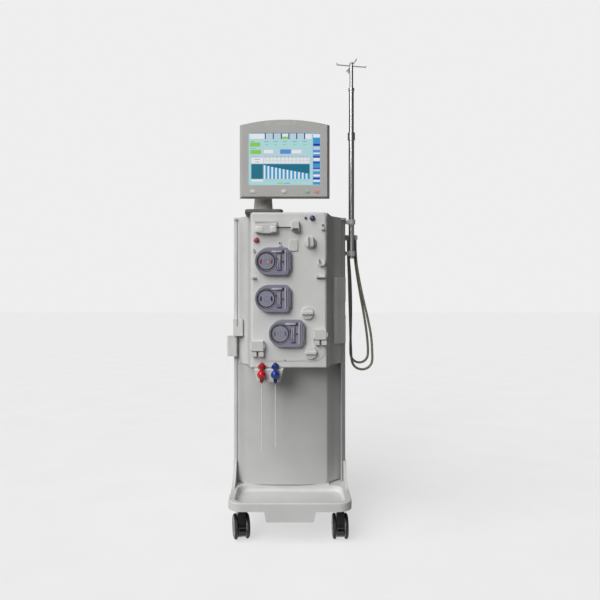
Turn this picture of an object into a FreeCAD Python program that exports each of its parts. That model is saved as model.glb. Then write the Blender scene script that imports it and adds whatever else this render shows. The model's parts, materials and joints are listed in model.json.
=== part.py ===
import FreeCAD, Part
import math
import os

# A three-pump dialysis machine: a wheeled base with a tray, a moulded cabinet with a
# front module that carries the pumps, a swivelling monitor and a telescopic pole.
# Millimetres. The origin is on the floor under the middle of the base, +X is to the
# right of someone who faces the front, +Y is to the back and +Z is up.

Vec = FreeCAD.Vector
RIGHT = Vec(1, 0, 0)
BACK = Vec(0, 1, 0)
UP = Vec(0, 0, 1)

# Shared walls and clearances
WALL = 4.0
SEAT_GAP = 0.3
RUNNING_GAP = 0.05

# Base
BASE_WIDTH = 496.0
BASE_DEPTH = 640.0
BASE_BOTTOM = 132.0
BASE_TOP = 166.0
BASE_CORNER = 56.0
BASE_EDGE_ROUND = 5.0
TRAY_SIDE_RIM = 24.0
TRAY_FRONT_RIM = 18.0
TRAY_BACK_Y = -106.0
TRAY_CORNER = 42.0
TRAY_DEPTH = 24.0
TRAY_COVE = 12.0
PLATE_THICKNESS = 6.0
KICK_TOP_WIDTH = 206.0
KICK_BOTTOM_WIDTH = 187.0
KICK_HEIGHT = 41.0
KICK_DEPTH = 46.0
FIN_WIDTH = 13.0
FIN_INSET = 1.0
FIN_HEIGHT = 92.0
FIN_LENGTH = 176.0
PLINTH_HEIGHT = 5.0

# Casters
CASTER_X = BASE_WIDTH / 2 - 45.0
CASTER_Y = BASE_DEPTH / 2 - 92.0
CASTER_TRAIL = 22.0
CASTER_WHEEL_RADIUS = 50.0
CASTER_WHEEL_WIDTH = 13.0
CASTER_WHEEL_INNER = 18.0
CASTER_HOOD_WIDTH = 30.0
CASTER_HOOD_RADIUS = 42.0
CASTER_AXLE_RADIUS = 5.0
CASTER_STEM_RADIUS = 9.0
CASTER_COLLAR_RADIUS = 21.0
FRONT_LEFT_YAW = 13.0
PEDAL_WIDTH = 25.0
PEDAL_RADIUS = 6.0
PEDAL_REACH = 22.0
PEDAL_PIN_RADIUS = 2.5

# Cabinet
CABINET_HALF = 247.0
COLUMN_FRONT_Y = -50.0
CABINET_BACK_Y = BASE_DEPTH / 2 - 20.0
CABINET_TOP = 1325.0
TOP_COVER_THICKNESS = 8.0
COLUMN_RAIL = 21.0
RAIL_SETBACK = 8.0
SEAM = 1.0
REAR_CORNER = 26.0
REAR_RETURN = 34.0
COVER_BOTTOM = BASE_TOP
COVER_TOP = CABINET_TOP - TOP_COVER_THICKNESS
COVER_HALF = CABINET_HALF - COLUMN_RAIL - SEAM

# Frame inside the cabinet
UPRIGHT_SIZE = 24.0
UPRIGHT_X = CABINET_HALF - 51.0
UPRIGHT_FRONT_Y = COLUMN_FRONT_Y + 34.0
UPRIGHT_BACK_Y = CABINET_BACK_Y - 38.0
RAIL_HEIGHT = 24.0
RAIL_WIDTH = 36.0
FLOOR_HOLE_HALF = 130.0
FLOOR_HOLE_FRONT = COLUMN_FRONT_Y - 10.0
FLOOR_HOLE_BACK = CABINET_BACK_Y - 70.0
FLOOR_HOLE_CORNER = 20.0
SHELF_THICKNESS = 3.0
SHELF_HEIGHTS = (200.0, 703.0, 1003.0)

# Units on the shelves
UNIT_FRONT_Y = COLUMN_FRONT_Y + 110.0
MANIFOLD_HALF = 140.0
MANIFOLD_DEPTH = 50.0
MANIFOLD_HEIGHT = 180.0
BALANCE_RADIUS = 48.0
HEATER_RADIUS = 42.0
STANDING_GAP = 18.0
STANDING_VESSELS = ((-85.0, HEATER_RADIUS, 300.0), (20.0, 34.0, 260.0), (110.0, 28.0, 120.0))
SUPPLY_HALF = 135.0
SUPPLY_DEPTH = 170.0
SUPPLY_HEIGHT = 120.0
CAGE_HALF = 160.0
CAGE_FLOOR = 8.0
CARD_COUNT = 6
CARD_PITCH = 50.0
CARD_THICKNESS = 3.0
CARD_HEIGHT = 210.0

# Rear cover, its louvres, the water spigots and the push handle
LOUVRE_COUNT = 9
LOUVRE_BOTTOM = 1010.0
LOUVRE_PITCH = 20.0
LOUVRE_WIDTH = 240.0
LOUVRE_HEIGHT = 7.0
SPIGOT_XS = (-70.0, 70.0)
SPIGOT_Z = 260.0
SPIGOT_RADIUS = 6.0
SPIGOT_LENGTH = 26.0
SPIGOT_FLANGE_RADIUS = 15.0
SPIGOT_FLANGE = 6.0
HANDLE_Z = 1240.0
HANDLE_REACH = 44.0
HANDLE_RADIUS = 12.0
HANDLE_SPAN = 320.0
HANDLE_POST_INSET = 16.0
HANDLE_FLANGE = 5.0

# Waist between the columns and the front module
WAIST_LEFT_X = -CABINET_HALF + 66.0
WAIST_RIGHT_X = CABINET_HALF - 69.0
WAIST_Y = COLUMN_FRONT_Y - 62.0
WAIST_ROUND = 40.0
FLANK_PAD_BOTTOM = 777.0
FLANK_PAD_TOP = 1063.0
FLANK_GROOVE_BOTTOM = 899.0
FLANK_GROOVE_TOP = 957.0
FLANK_GROOVE = 3.0
FLANK_PAD_FRONT = -51.0

# Side holder on the left column
HOLDER_BRACKET_LEFT = -CABINET_HALF + 2.0
HOLDER_BRACKET_WIDTH = 41.5
HOLDER_BRACKET_DEPTH = 50.0
HOLDER_PLATE = 13.0
HOLDER_BRACKET_BOTTOM = 808.0
HOLDER_BRACKET_TOP = 883.0
HOLDER_PIN_RADIUS = 5.0
HOLDER_PIN_LENGTH = 40.0
HOLDER_PIN_FORWARD = 22.0
HOLDER_HANG = 88.0
HOLDER_REACH = 36.0
HOLDER_HALF_DEPTH = 14.0
HOLDER_WALL = 5.0
HOLDER_ROOF = 14.0

# Lower front cover
LOWER_FRONT_Y = -92.0
LOWER_LEFT_X = -CABINET_HALF + 53.0
LOWER_RIGHT_X = CABINET_HALF - 84.0
LOWER_STEP_Y = COLUMN_FRONT_Y - 12.0
PLINTH_MARGIN = 8.0

# Front module
MODULE_LEFT = -159.0
MODULE_RIGHT = 151.0
MODULE_BOTTOM = 688.0
MODULE_FRONT_Y = -235.0
MODULE_BACK_Y = -213.0
MODULE_ROUND = 7.0
DOOR_BOTTOM = MODULE_BOTTOM + 28.0
DOOR_MARGIN = 2.0
DOOR_RISE = 2.5
DOOR_CORNER = 46.0
DOOR_TOP_CORNER = 12.0

# Pumps
PUMP_CENTRES = ((-96.0, 1122.0), (-96.0, 971.0), (-40.0, 829.0))
PUMP_BACK_RADIUS = 56.0
PUMP_BACK_OFFSET = 10.0
PUMP_REACH = 92.0
PUMP_CORNER = 15.0
PUMP_BODY_DEPTH = 15.0
PUMP_COVER_THICKNESS = 8.0
RACE_RADIUS = 44.0
RACE_DEPTH = 12.0
WINDOW_RADIUS = 42.5
ROTOR_RADIUS = 34.0
ROTOR_PLATE = 6.0
ROLLER_RADIUS = 7.0
ROLLER_ORBIT = 33.0
ROTOR_SHAFT_RADIUS = 6.0
TUBE_CHANNEL = 9.0
PUMP_COVER_BACK_Y = MODULE_FRONT_Y - PUMP_BODY_DEPTH - SEAT_GAP
PUMP_COVER_FRONT_Y = PUMP_COVER_BACK_Y - PUMP_COVER_THICKNESS
PUMP_HINGE_RADIUS = 3.0
PUMP_HINGE_INSET = 5.0
PUMP_EAR_REACH = 34.0
PUMP_EAR_HALF = 4.0
PUMP_FIELD = (40.0, 84.0, -37.0, 36.0)
PUMP_FIELD_DEPTH = 3.0
PUMP_SLOTS = ((62.0, -34.0, 33.0), (50.0, -16.0, 20.0), (56.0, -24.0, 12.0))
PUMP_SLOT_WIDTH = 2.0
ROLLER_PIN_RADIUS = 2.5
ROTOR_HUB_RADIUS = 14.0
ROTOR_REAR_PLATE = 3.0
FINGER_POCKET = (22.0, 8.0, 21.0, 2.5)
MOTOR_RADIUS = 26.0
MOTOR_LENGTH = 70.0
GEARBOX_SIZE = 62.0
GEARBOX_DEPTH = 30.0

# Syringe pump
SYRINGE_Z = 1260.0
SYRINGE_LEFT = -142.0
SYRINGE_RIGHT = -53.0
SYRINGE_ROD_RADIUS = 3.0
SYRINGE_ROD_REACH = 58.0
SYRINGE_TRAVEL = 48.0
SYRINGE_BODY_DEPTH = 24.0
SYRINGE_BELLY = 7.0
SYRINGE_EDGE_ROUND = 3.0

# Ports, clips and rests on the door: places in X and Z, then width and height
PRESSURE_PORTS = ((91.0, 1300.0), (-137.0, 1210.0))
STATUS_DOT = (64.5, 1300.0)
DOOR_PAD = (-2.0, 33.0, 1164.0, 1212.0)
TUBE_CLIPS = (
    (-42.0, 1192.0, 12.0, 20.0), (133.0, 1264.0, 12.0, 25.0),
    (-147.5, 1169.0, 8.0, 12.0), (-147.0, 1057.0, 18.0, 7.0),
)
TUBE_HOOK = (128.0, 1118.0)
DOOR_SHELF = (106.0, 143.0, 1057.0)

# Port knobs and line clamps
KNOB_CENTRES = ((71.0, 912.0), (85.0, DOOR_BOTTOM + 34.0))
KNOB_RADIUS = 26.0
KNOB_DEPTH = 10.0
KNOB_SHAFT_RADIUS = 5.0
CLAMP_LEFTS = (-156.0, 99.0)
CLAMP_BOTTOMS = (DOOR_BOTTOM + 21.0, DOOR_BOTTOM + 68.0)
CLAMP_WIDTH = 49.0
CLAMP_BLOCK_HEIGHT = 18.0
CLAMP_COVER_HEIGHT = 42.0
CLAMP_BODY_DEPTH = 12.0
CLAMP_COVER_DEPTH = 13.0
CLAMP_COVER_GAP = 3.0
CLAMP_CHANNEL = 8.0
CLAMP_PIN_RADIUS = 2.0
CLAMP_HINGE_OUT = 4.5

# Air detector
DETECTOR_X = 82.5
DETECTOR_Z = 1200.0
DETECTOR_RADIUS = 25.0
DETECTOR_SLOT = 9.0

# Wands and their holder
WAND_XS = (-113.5, -59.0)
WAND_Y = MODULE_FRONT_Y - 20.0
WAND_HOLDER_LEFT = -146.0
WAND_HOLDER_RIGHT = -26.0
WAND_HOLDER_HEIGHT = 53.0
WAND_HOLDER_TAPER = 14.0
WAND_HOLDER_FRONT_Y = MODULE_FRONT_Y - 37.0
WAND_HOLDER_BACK_Y = MODULE_BACK_Y - 5.0
WAND_STEM_RADIUS = 7.0
WAND_CAP_RADIUS = 16.5
WAND_BULB_RADIUS = 17.5
WAND_ROD_RADIUS = 2.0
WAND_ROD_BOTTOMS = (347.0, 371.0)

# Monitor
MONITOR_LEFT = -205.0
MONITOR_RIGHT = 162.0
MONITOR_BOTTOM = 1382.0
MONITOR_SHOULDER = 1680.0
MONITOR_PEAK = 1703.0
MONITOR_FRONT_Y = -245.0
MONITOR_RIM = 14.0
MONITOR_BAND = 16.0
MONITOR_TAPER = 22.0
SCREEN_LEFT = -168.0
SCREEN_RIGHT = 124.0
SCREEN_BOTTOM = 1433.0
SCREEN_TOP = 1645.0
SCREEN_DEPTH = 3.0
KEY_XS = (-152.0, -25.0, 69.0, 107.0)
KEY_Z = 1407.5
KEY_WIDTH = 21.0
KEY_HEIGHT = 14.0
KEY_POCKET = 6.0
KEY_TRAVEL = 1.5
ALARM_LEFT = -105.0
ALARM_RIGHT = 68.0
ALARM_BOTTOM = 1676.0
ALARM_SLANT = 10.0
ALARM_DEPTH = 20.0
NECK_X = -113.0
NECK_Y = -150.0
NECK_WIDTH = 77.0
NECK_DEPTH = 52.0
FOOT_LEFT = -187.0
FOOT_RIGHT = -29.0
FOOT_GAP = 4.0
FOOT_THICKNESS = 12.0
SWIVEL_PIN_RADIUS = 14.0
SWIVEL_PIN_ROOM = 35.0
TILT_Z = 1530.0
TILT_Y = -176.0
TILT_BARREL_RADIUS = 13.0
TILT_BARREL_HALF = 34.0
TILT_PIN_RADIUS = 5.0
TILT_EAR = 12.0

# Pole
POLE_X = CABINET_HALF + 33.0
POLE_Y = 40.0
POLE_BOTTOM = 1152.0
LOWER_TUBE_RADIUS = 12.5
LOWER_TUBE_TOP = 1725.0
MIDDLE_TUBE_RADIUS = 11.0
MIDDLE_TUBE_TOP = LOWER_TUBE_TOP + 203.0
MIDDLE_TUBE_INSERT = 230.0
TOP_TUBE_RADIUS = 8.0
TOP_TUBE_TOP = MIDDLE_TUBE_TOP + 110.0
TOP_TUBE_INSERT = 180.0
TUBE_WALL = 1.4
COLLAR_RADIUS = 16.5
COLLAR_HEIGHT = 35.0
SMALL_COLLAR_RADIUS = 13.5
SMALL_COLLAR_HEIGHT = 12.0
HOOK_REACH = 68.0
HOOK_WIRE = 2.5
HOOK_TIP = 9.0
HOOK_YAW = 12.0
POLE_LEVER = 24.0
POLE_LEVER_DROP = 18.0
BRACKET_HEIGHTS = (1318.0, 1175.0)
BRACKET_THICKNESS = 22.0

# Hoses
HOSE_DIAMETER = 11.0
HOSE_A_Y = 80.0
HOSE_B_Y = 97.0
BRIDGE_Z = 1240.0
BRIDGE_HEIGHT = 22.0
BRIDGE_REACH = 32.0
BRIDGE_ROUND = 5.0


def block(x0, x1, y0, y1, z0, z1):
    return Part.makeBox(x1 - x0, y1 - y0, z1 - z0, Vec(x0, y0, z0))


def rod(radius, start, end):
    return Part.makeCylinder(radius, (end - start).Length, start, end - start)


def pipe(outer, inner, start, end):
    return rod(outer, start, end).cut(rod(inner, start, end))


def corner_arc(before, corner, after, radius):
    """The start, middle and end of the arc that rounds one corner."""
    back = (before - corner).normalize()
    ahead = (after - corner).normalize()
    half = back.getAngle(ahead) / 2
    centre = corner + (back + ahead).normalize() * (radius / math.sin(half))
    start = corner + back * (radius / math.tan(half))
    end = corner + ahead * (radius / math.tan(half))
    middle = centre + (corner - centre).normalize() * radius
    return start, middle, end


def rounded_loop(points, radii):
    """A closed wire through the points, with each corner rounded by its own radius."""
    corners = []
    for index, corner in enumerate(points):
        if radii[index] > 0:
            after = points[(index + 1) % len(points)]
            corners.append(corner_arc(points[index - 1], corner, after, radii[index]))
        else:
            corners.append((corner, None, corner))
    edges = []
    for index, (start, middle, end) in enumerate(corners):
        if middle is not None:
            edges.append(Part.Arc(start, middle, end).toShape())
        following = corners[(index + 1) % len(corners)][0]
        if end.distanceToPoint(following) > 1e-6:
            edges.append(Part.LineSegment(end, following).toShape())
    return Part.Wire(edges)


def same_radius(points, radius):
    return [radius] * len(points)


def front_plate(points, radii, y0, y1):
    """A plate with its outline in X and Z, from y0 back to y1."""
    loop = rounded_loop([Vec(x, y0, z) for x, z in points], radii)
    return Part.Face(loop).extrude(BACK * (y1 - y0))


def plan_plate(points, radii, z0, z1):
    """A plate with its outline in X and Y, from z0 up to z1."""
    loop = rounded_loop([Vec(x, y, z0) for x, y in points], radii)
    return Part.Face(loop).extrude(UP * (z1 - z0))


def side_plate(points, radii, x0, x1):
    """A plate with its outline in Y and Z, from x0 right to x1."""
    loop = rounded_loop([Vec(x0, y, z) for y, z in points], radii)
    return Part.Face(loop).extrude(RIGHT * (x1 - x0))


def rectangle(u0, u1, v0, v1):
    return [(u0, v0), (u1, v0), (u1, v1), (u0, v1)]


def front_pad(x0, x1, z0, z1, radius, y0, y1):
    points = rectangle(x0, x1, z0, z1)
    return front_plate(points, same_radius(points, radius), y0, y1)


def plan_pad(x0, x1, y0, y1, radius, z0, z1):
    points = rectangle(x0, x1, y0, y1)
    return plan_plate(points, same_radius(points, radius), z0, z1)


def edges_at(shape, axis, value):
    """The edges that lie wholly in one plane across an axis (0, 1 or 2)."""
    found = []
    for edge in shape.Edges:
        if all(abs(vertex.Point[axis] - value) < 1e-4 for vertex in edge.Vertexes):
            box = edge.BoundBox
            size = (box.XLength, box.YLength, box.ZLength)
            if size[axis] < 1e-4:
                found.append(edge)
    return found


def eased(shape, radius, axis, value):
    """The shape with the edges of one flat face rounded."""
    return shape.makeFillet(radius, edges_at(shape, axis, value))


def fused(*shapes):
    whole = shapes[0].multiFuse(list(shapes[1:]))
    return whole.removeSplitter()


def together(*shapes):
    return Part.makeCompound(list(shapes))


def write(name, shape):
    shape.exportStep("parts/" + name + ".step")


# Base and chassis

HALF_BASE = BASE_WIDTH / 2
BASE_FRONT_Y = -BASE_DEPTH / 2
BASE_BACK_Y = BASE_DEPTH / 2
TRAY_FLOOR = BASE_TOP - TRAY_DEPTH
PLATE_TOP = BASE_BOTTOM + PLATE_THICKNESS


def upright_places():
    return [(side * UPRIGHT_X, y) for side in (-1, 1) for y in (UPRIGHT_FRONT_Y, UPRIGHT_BACK_Y)]


def caster_places():
    return [(side * CASTER_X, end * CASTER_Y) for end in (-1, 1) for side in (-1, 1)]


def make_base_tray():
    """Moulded base: rounded rim, front tray with coved corners, kick panel and side fins."""
    body = plan_pad(-HALF_BASE, HALF_BASE, BASE_FRONT_Y, BASE_BACK_Y, BASE_CORNER, BASE_BOTTOM, BASE_TOP)
    body = eased(body, BASE_EDGE_ROUND, 2, BASE_TOP)
    tray = plan_pad(
        -HALF_BASE + TRAY_SIDE_RIM, HALF_BASE - TRAY_SIDE_RIM,
        BASE_FRONT_Y + TRAY_FRONT_RIM, TRAY_BACK_Y,
        TRAY_CORNER, TRAY_FLOOR, BASE_TOP + WALL,
    )
    tray = eased(tray, TRAY_COVE, 2, TRAY_FLOOR)
    plate_room = plan_pad(
        -HALF_BASE + WALL * 2, HALF_BASE - WALL * 2, BASE_FRONT_Y + WALL * 2, BASE_BACK_Y - WALL * 2,
        BASE_CORNER - WALL * 2, BASE_BOTTOM, PLATE_TOP,
    )
    rail_room = block(
        -UPRIGHT_X - RAIL_WIDTH, UPRIGHT_X + RAIL_WIDTH, TRAY_BACK_Y + WALL * 2, BASE_BACK_Y - WALL * 4,
        PLATE_TOP, PLATE_TOP + RAIL_HEIGHT,
    )
    body = body.cut(tray).cut(plate_room).cut(rail_room)
    kick_bottom = BASE_BOTTOM - KICK_HEIGHT
    kick_points = [
        (-KICK_TOP_WIDTH / 2, BASE_BOTTOM + WALL), (KICK_TOP_WIDTH / 2, BASE_BOTTOM + WALL),
        (KICK_BOTTOM_WIDTH / 2, kick_bottom), (-KICK_BOTTOM_WIDTH / 2, kick_bottom),
    ]
    kick = front_plate(kick_points, [0, 0, 6, 6], BASE_FRONT_Y, BASE_FRONT_Y + KICK_DEPTH)
    kick_room = block(
        -KICK_BOTTOM_WIDTH / 2 + WALL, KICK_BOTTOM_WIDTH / 2 - WALL,
        BASE_FRONT_Y + WALL, BASE_FRONT_Y + KICK_DEPTH + WALL,
        kick_bottom + WALL, BASE_BOTTOM + WALL * 2,
    )
    plate_clear = block(
        -KICK_TOP_WIDTH, KICK_TOP_WIDTH, BASE_FRONT_Y + WALL * 2, BASE_FRONT_Y + KICK_DEPTH + WALL,
        BASE_BOTTOM, BASE_BOTTOM + WALL * 2,
    )
    kick = kick.cut(kick_room).cut(plate_clear)
    fins = []
    for side in (-1, 1):
        fins.append(make_fin(side))
    plinth = plan_pad(
        LOWER_LEFT_X - PLINTH_MARGIN, LOWER_RIGHT_X + PLINTH_MARGIN,
        LOWER_FRONT_Y - PLINTH_MARGIN, COLUMN_FRONT_Y - PLINTH_MARGIN,
        6, BASE_TOP - 1, BASE_TOP + PLINTH_HEIGHT,
    )
    body = fused(body, kick, plinth, *fins)
    for x, y in upright_places():
        reach = UPRIGHT_SIZE / 2 + SEAT_GAP
        body = body.cut(block(x - reach, x + reach, y - reach, y + reach, PLATE_TOP, BASE_TOP + WALL))
    return body


def make_fin(side):
    """A side rim that sweeps up from the tray to the cabinet column."""
    back_y = COLUMN_FRONT_Y
    front_y = back_y - FIN_LENGTH
    top_z = BASE_TOP + FIN_HEIGHT
    root_z = BASE_TOP - WALL
    x0 = side * (HALF_BASE - FIN_INSET - FIN_WIDTH)
    sweep = Part.Arc(
        Vec(x0, front_y, BASE_TOP),
        Vec(x0, back_y - FIN_LENGTH * 0.3, BASE_TOP + FIN_HEIGHT * 0.32),
        Vec(x0, back_y - 12, top_z),
    ).toShape()
    edges = [
        sweep,
        Part.LineSegment(Vec(x0, back_y - 12, top_z), Vec(x0, back_y, top_z)).toShape(),
        Part.LineSegment(Vec(x0, back_y, top_z), Vec(x0, back_y, root_z)).toShape(),
        Part.LineSegment(Vec(x0, back_y, root_z), Vec(x0, front_y, root_z)).toShape(),
        Part.LineSegment(Vec(x0, front_y, root_z), Vec(x0, front_y, BASE_TOP)).toShape(),
    ]
    return Part.Face(Part.Wire(edges)).extrude(RIGHT * (side * FIN_WIDTH))


def make_chassis_frame():
    """Steel floor plate with caster bores, two rails, four uprights and three shelves."""
    plate = plan_pad(
        -HALF_BASE + WALL * 2 + SEAT_GAP, HALF_BASE - WALL * 2 - SEAT_GAP,
        BASE_FRONT_Y + WALL * 2 + SEAT_GAP, BASE_BACK_Y - WALL * 2 - SEAT_GAP,
        BASE_CORNER - WALL * 2, BASE_BOTTOM, PLATE_TOP,
    )
    plate = plate.cut(plan_pad(
        -FLOOR_HOLE_HALF, FLOOR_HOLE_HALF, FLOOR_HOLE_FRONT, FLOOR_HOLE_BACK, FLOOR_HOLE_CORNER,
        BASE_BOTTOM, PLATE_TOP,
    ))
    pieces = [plate]
    for side in (-1, 1):
        x = side * UPRIGHT_X
        pieces.append(block(
            x - RAIL_WIDTH / 2, x + RAIL_WIDTH / 2, UPRIGHT_FRONT_Y - 60, UPRIGHT_BACK_Y + 30,
            PLATE_TOP, PLATE_TOP + RAIL_HEIGHT,
        ))
    reach = UPRIGHT_SIZE / 2
    for x, y in upright_places():
        pieces.append(block(x - reach, x + reach, y - reach, y + reach, PLATE_TOP, COVER_TOP))
    for z in SHELF_HEIGHTS:
        pieces.append(block(
            -UPRIGHT_X - reach, UPRIGHT_X + reach, UPRIGHT_FRONT_Y - reach, UPRIGHT_BACK_Y + reach,
            z - SHELF_THICKNESS, z,
        ))
    frame = fused(*pieces)
    for x, y in caster_places():
        bore_radius = CASTER_STEM_RADIUS + RUNNING_GAP
        frame = frame.cut(rod(bore_radius, Vec(x, y, BASE_BOTTOM), Vec(x, y, PLATE_TOP)))
    return frame


# Casters

def caster_local_axle():
    return Vec(0, -CASTER_TRAIL, CASTER_WHEEL_RADIUS)


def place_caster(shape, x, y, yaw):
    shape = shape.copy()
    shape.rotate(Vec(0, 0, 0), UP, yaw)
    shape.translate(Vec(x, y, 0))
    return shape


def make_caster_fork():
    """Hood between the twin wheels, with a swivel collar and stem on top."""
    axle = caster_local_axle()
    half = CASTER_HOOD_WIDTH / 2
    collar_bottom = BASE_BOTTOM - 9
    hood = rod(CASTER_HOOD_RADIUS, axle - RIGHT * half, axle + RIGHT * half)
    neck_points = [
        (axle.y - CASTER_HOOD_RADIUS * 0.93, axle.z + 12), (axle.y - CASTER_HOOD_RADIUS * 0.6, collar_bottom),
        (CASTER_COLLAR_RADIUS, collar_bottom), (CASTER_COLLAR_RADIUS - 3, axle.z + 10),
    ]
    neck = side_plate(neck_points, [0, 16, 6, 0], -half, half)
    body = fused(hood, neck)
    collar = rod(CASTER_COLLAR_RADIUS, Vec(0, 0, collar_bottom - 4), Vec(0, 0, BASE_BOTTOM - SEAT_GAP))
    stem = rod(CASTER_STEM_RADIUS, Vec(0, 0, collar_bottom), Vec(0, 0, PLATE_TOP - SEAT_GAP))
    body = fused(body, collar, stem)
    pivot = pedal_pivot()
    room_half = PEDAL_WIDTH / 2 + SEAT_GAP
    pedal_room = rod(PEDAL_RADIUS + SEAT_GAP * 2, pivot - RIGHT * room_half, pivot + RIGHT * room_half)
    pedal_sweep = block(
        -room_half, room_half, axle.y - CASTER_HOOD_RADIUS - 10, pivot.y,
        pivot.z - 20, pivot.z + PEDAL_RADIUS + 1,
    )
    body = body.cut(pedal_room).cut(pedal_sweep)
    body = body.cut(rod(CASTER_AXLE_RADIUS + RUNNING_GAP, axle - RIGHT * half, axle + RIGHT * half))
    pin = rod(PEDAL_PIN_RADIUS, pivot - RIGHT * half, pivot + RIGHT * half)
    return fused(body, pin)


def pedal_pivot():
    axle = caster_local_axle()
    return Vec(0, axle.y - CASTER_HOOD_RADIUS + 9, axle.z - 4)


def make_brake_pedal():
    """Foot pedal on a cross pin in the front of the hood."""
    pivot = pedal_pivot()
    half = PEDAL_WIDTH / 2
    barrel = rod(PEDAL_RADIUS, pivot - RIGHT * half, pivot + RIGHT * half)
    blade_points = [
        (pivot.y - PEDAL_REACH, pivot.z - 1), (pivot.y - PEDAL_REACH + 2, pivot.z + 5),
        (pivot.y, pivot.z + PEDAL_RADIUS), (pivot.y, pivot.z - 1),
    ]
    blade = side_plate(blade_points, [1.5, 1.5, 0, 0], -half, half)
    pedal = fused(barrel, blade)
    return pedal.cut(rod(PEDAL_PIN_RADIUS + RUNNING_GAP, pivot - RIGHT * half, pivot + RIGHT * half))


def make_caster_wheels():
    """Two wheels on one axle, each a domed hub disc with a rounded tread."""
    axle = caster_local_axle()
    inner = CASTER_WHEEL_INNER
    outer = inner + CASTER_WHEEL_WIDTH
    radius = CASTER_WHEEL_RADIUS
    profile = [
        (0, inner), (radius - 3, inner), (radius, inner + 3), (radius, outer - 5),
        (radius - 6, outer), (radius - 12, outer), (radius - 14, outer - 3), (0, outer - 1),
    ]
    loop = rounded_loop([Vec(x, 0, r) for r, x in profile], [0, 0, 2, 3, 0, 0, 0, 0])
    wheel = Part.Face(loop).revolve(Vec(0, 0, 0), RIGHT, 360)
    wheel.translate(axle)
    other = wheel.mirror(axle, RIGHT)
    bar = rod(CASTER_AXLE_RADIUS, axle - RIGHT * (inner + 1), axle + RIGHT * (inner + 1))
    return fused(wheel, other, bar)


# Cabinet covers

def side_section(side):
    """Plan outline of a side cover: front rail, long side, rounded rear return."""
    x = side * CABINET_HALF
    rail = side * (CABINET_HALF - COLUMN_RAIL)
    rear = side * (CABINET_HALF - REAR_RETURN)
    inner = side * (CABINET_HALF - WALL)
    points = [
        (rail, COLUMN_FRONT_Y), (x, COLUMN_FRONT_Y), (x, CABINET_BACK_Y), (rear, CABINET_BACK_Y),
        (rear, CABINET_BACK_Y - WALL), (inner, CABINET_BACK_Y - WALL), (inner, COLUMN_FRONT_Y + WALL),
        (rail, COLUMN_FRONT_Y + WALL),
    ]
    return points, [0, 6, REAR_CORNER, 0, 0, REAR_CORNER - WALL, 2, 0]


def make_side_cover(side):
    points, radii = side_section(side)
    return plan_plate(points, radii, COVER_BOTTOM, COVER_TOP)


def make_left_side_cover():
    """Left cover, with the small bracket on its front rail that the side holder hangs on."""
    front = COLUMN_FRONT_Y - HOLDER_BRACKET_DEPTH
    plate = front_pad(
        HOLDER_BRACKET_LEFT, HOLDER_BRACKET_LEFT + HOLDER_BRACKET_WIDTH,
        HOLDER_BRACKET_BOTTOM, HOLDER_BRACKET_TOP, 3, front, front + HOLDER_PLATE,
    )
    plate = eased(plate, 2.5, 1, front)
    stem = block(
        HOLDER_BRACKET_LEFT, HOLDER_BRACKET_LEFT + COLUMN_RAIL - 3, front + HOLDER_PLATE - 1, COLUMN_FRONT_Y,
        HOLDER_BRACKET_BOTTOM, HOLDER_BRACKET_TOP,
    )
    bracket = fused(plate, stem)
    base = holder_pin_base()
    bore = rod(HOLDER_PIN_RADIUS + RUNNING_GAP, base - UP, base + UP * HOLDER_PIN_LENGTH)
    return together(make_side_cover(-1), bracket.cut(bore))


def holder_pin_base():
    x = HOLDER_BRACKET_LEFT + COLUMN_RAIL / 2 - 1.5
    return Vec(x, COLUMN_FRONT_Y - HOLDER_PIN_FORWARD, HOLDER_BRACKET_BOTTOM)


def make_side_holder():
    """Hanging clip that swivels on a pin under the bracket, open to the left."""
    base = holder_pin_base()
    top = HOLDER_BRACKET_BOTTOM - SEAT_GAP
    front = base.y - HOLDER_HALF_DEPTH - 1
    back = base.y + HOLDER_HALF_DEPTH - 1
    outer = plan_pad(
        base.x - HOLDER_REACH, base.x + HOLDER_WALL, front, back, 6, top - HOLDER_HANG, top,
    )
    room = plan_pad(
        base.x - HOLDER_REACH - 8, base.x, front + HOLDER_WALL, back - HOLDER_WALL, 4,
        top - HOLDER_HANG - 1, top - HOLDER_ROOF,
    )
    root = Vec(base.x, base.y, top - 6)
    pin = rod(HOLDER_PIN_RADIUS, root, root + UP * (HOLDER_PIN_LENGTH + 4))
    return fused(outer.cut(room), pin)


def make_right_side_cover():
    return make_side_cover(1)


def make_rear_cover():
    """Back panel between the side covers, with louvres, a filter recess and the water fittings."""
    half = CABINET_HALF - REAR_RETURN
    panel = block(-half, half, CABINET_BACK_Y - WALL, CABINET_BACK_Y, COVER_BOTTOM, COVER_TOP)
    for index in range(LOUVRE_COUNT):
        z = LOUVRE_BOTTOM + index * LOUVRE_PITCH
        panel = panel.cut(front_pad(
            -LOUVRE_WIDTH / 2, LOUVRE_WIDTH / 2, z, z + LOUVRE_HEIGHT, LOUVRE_HEIGHT * 0.45,
            CABINET_BACK_Y - WALL, CABINET_BACK_Y,
        ))
    pieces = [panel]
    for x in SPIGOT_XS:
        pieces.append(make_spigot(x))
    return fused(*pieces)


def make_spigot(x):
    """A hose spigot on a round flange: plain, with a through bore."""
    root = Vec(x, CABINET_BACK_Y - 1, SPIGOT_Z)
    flange = rod(SPIGOT_FLANGE_RADIUS, root, root + BACK * (SPIGOT_FLANGE + 1))
    tail = rod(SPIGOT_RADIUS, root, root + BACK * (SPIGOT_FLANGE + SPIGOT_LENGTH + 1))
    return flange.fuse(tail)


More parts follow.
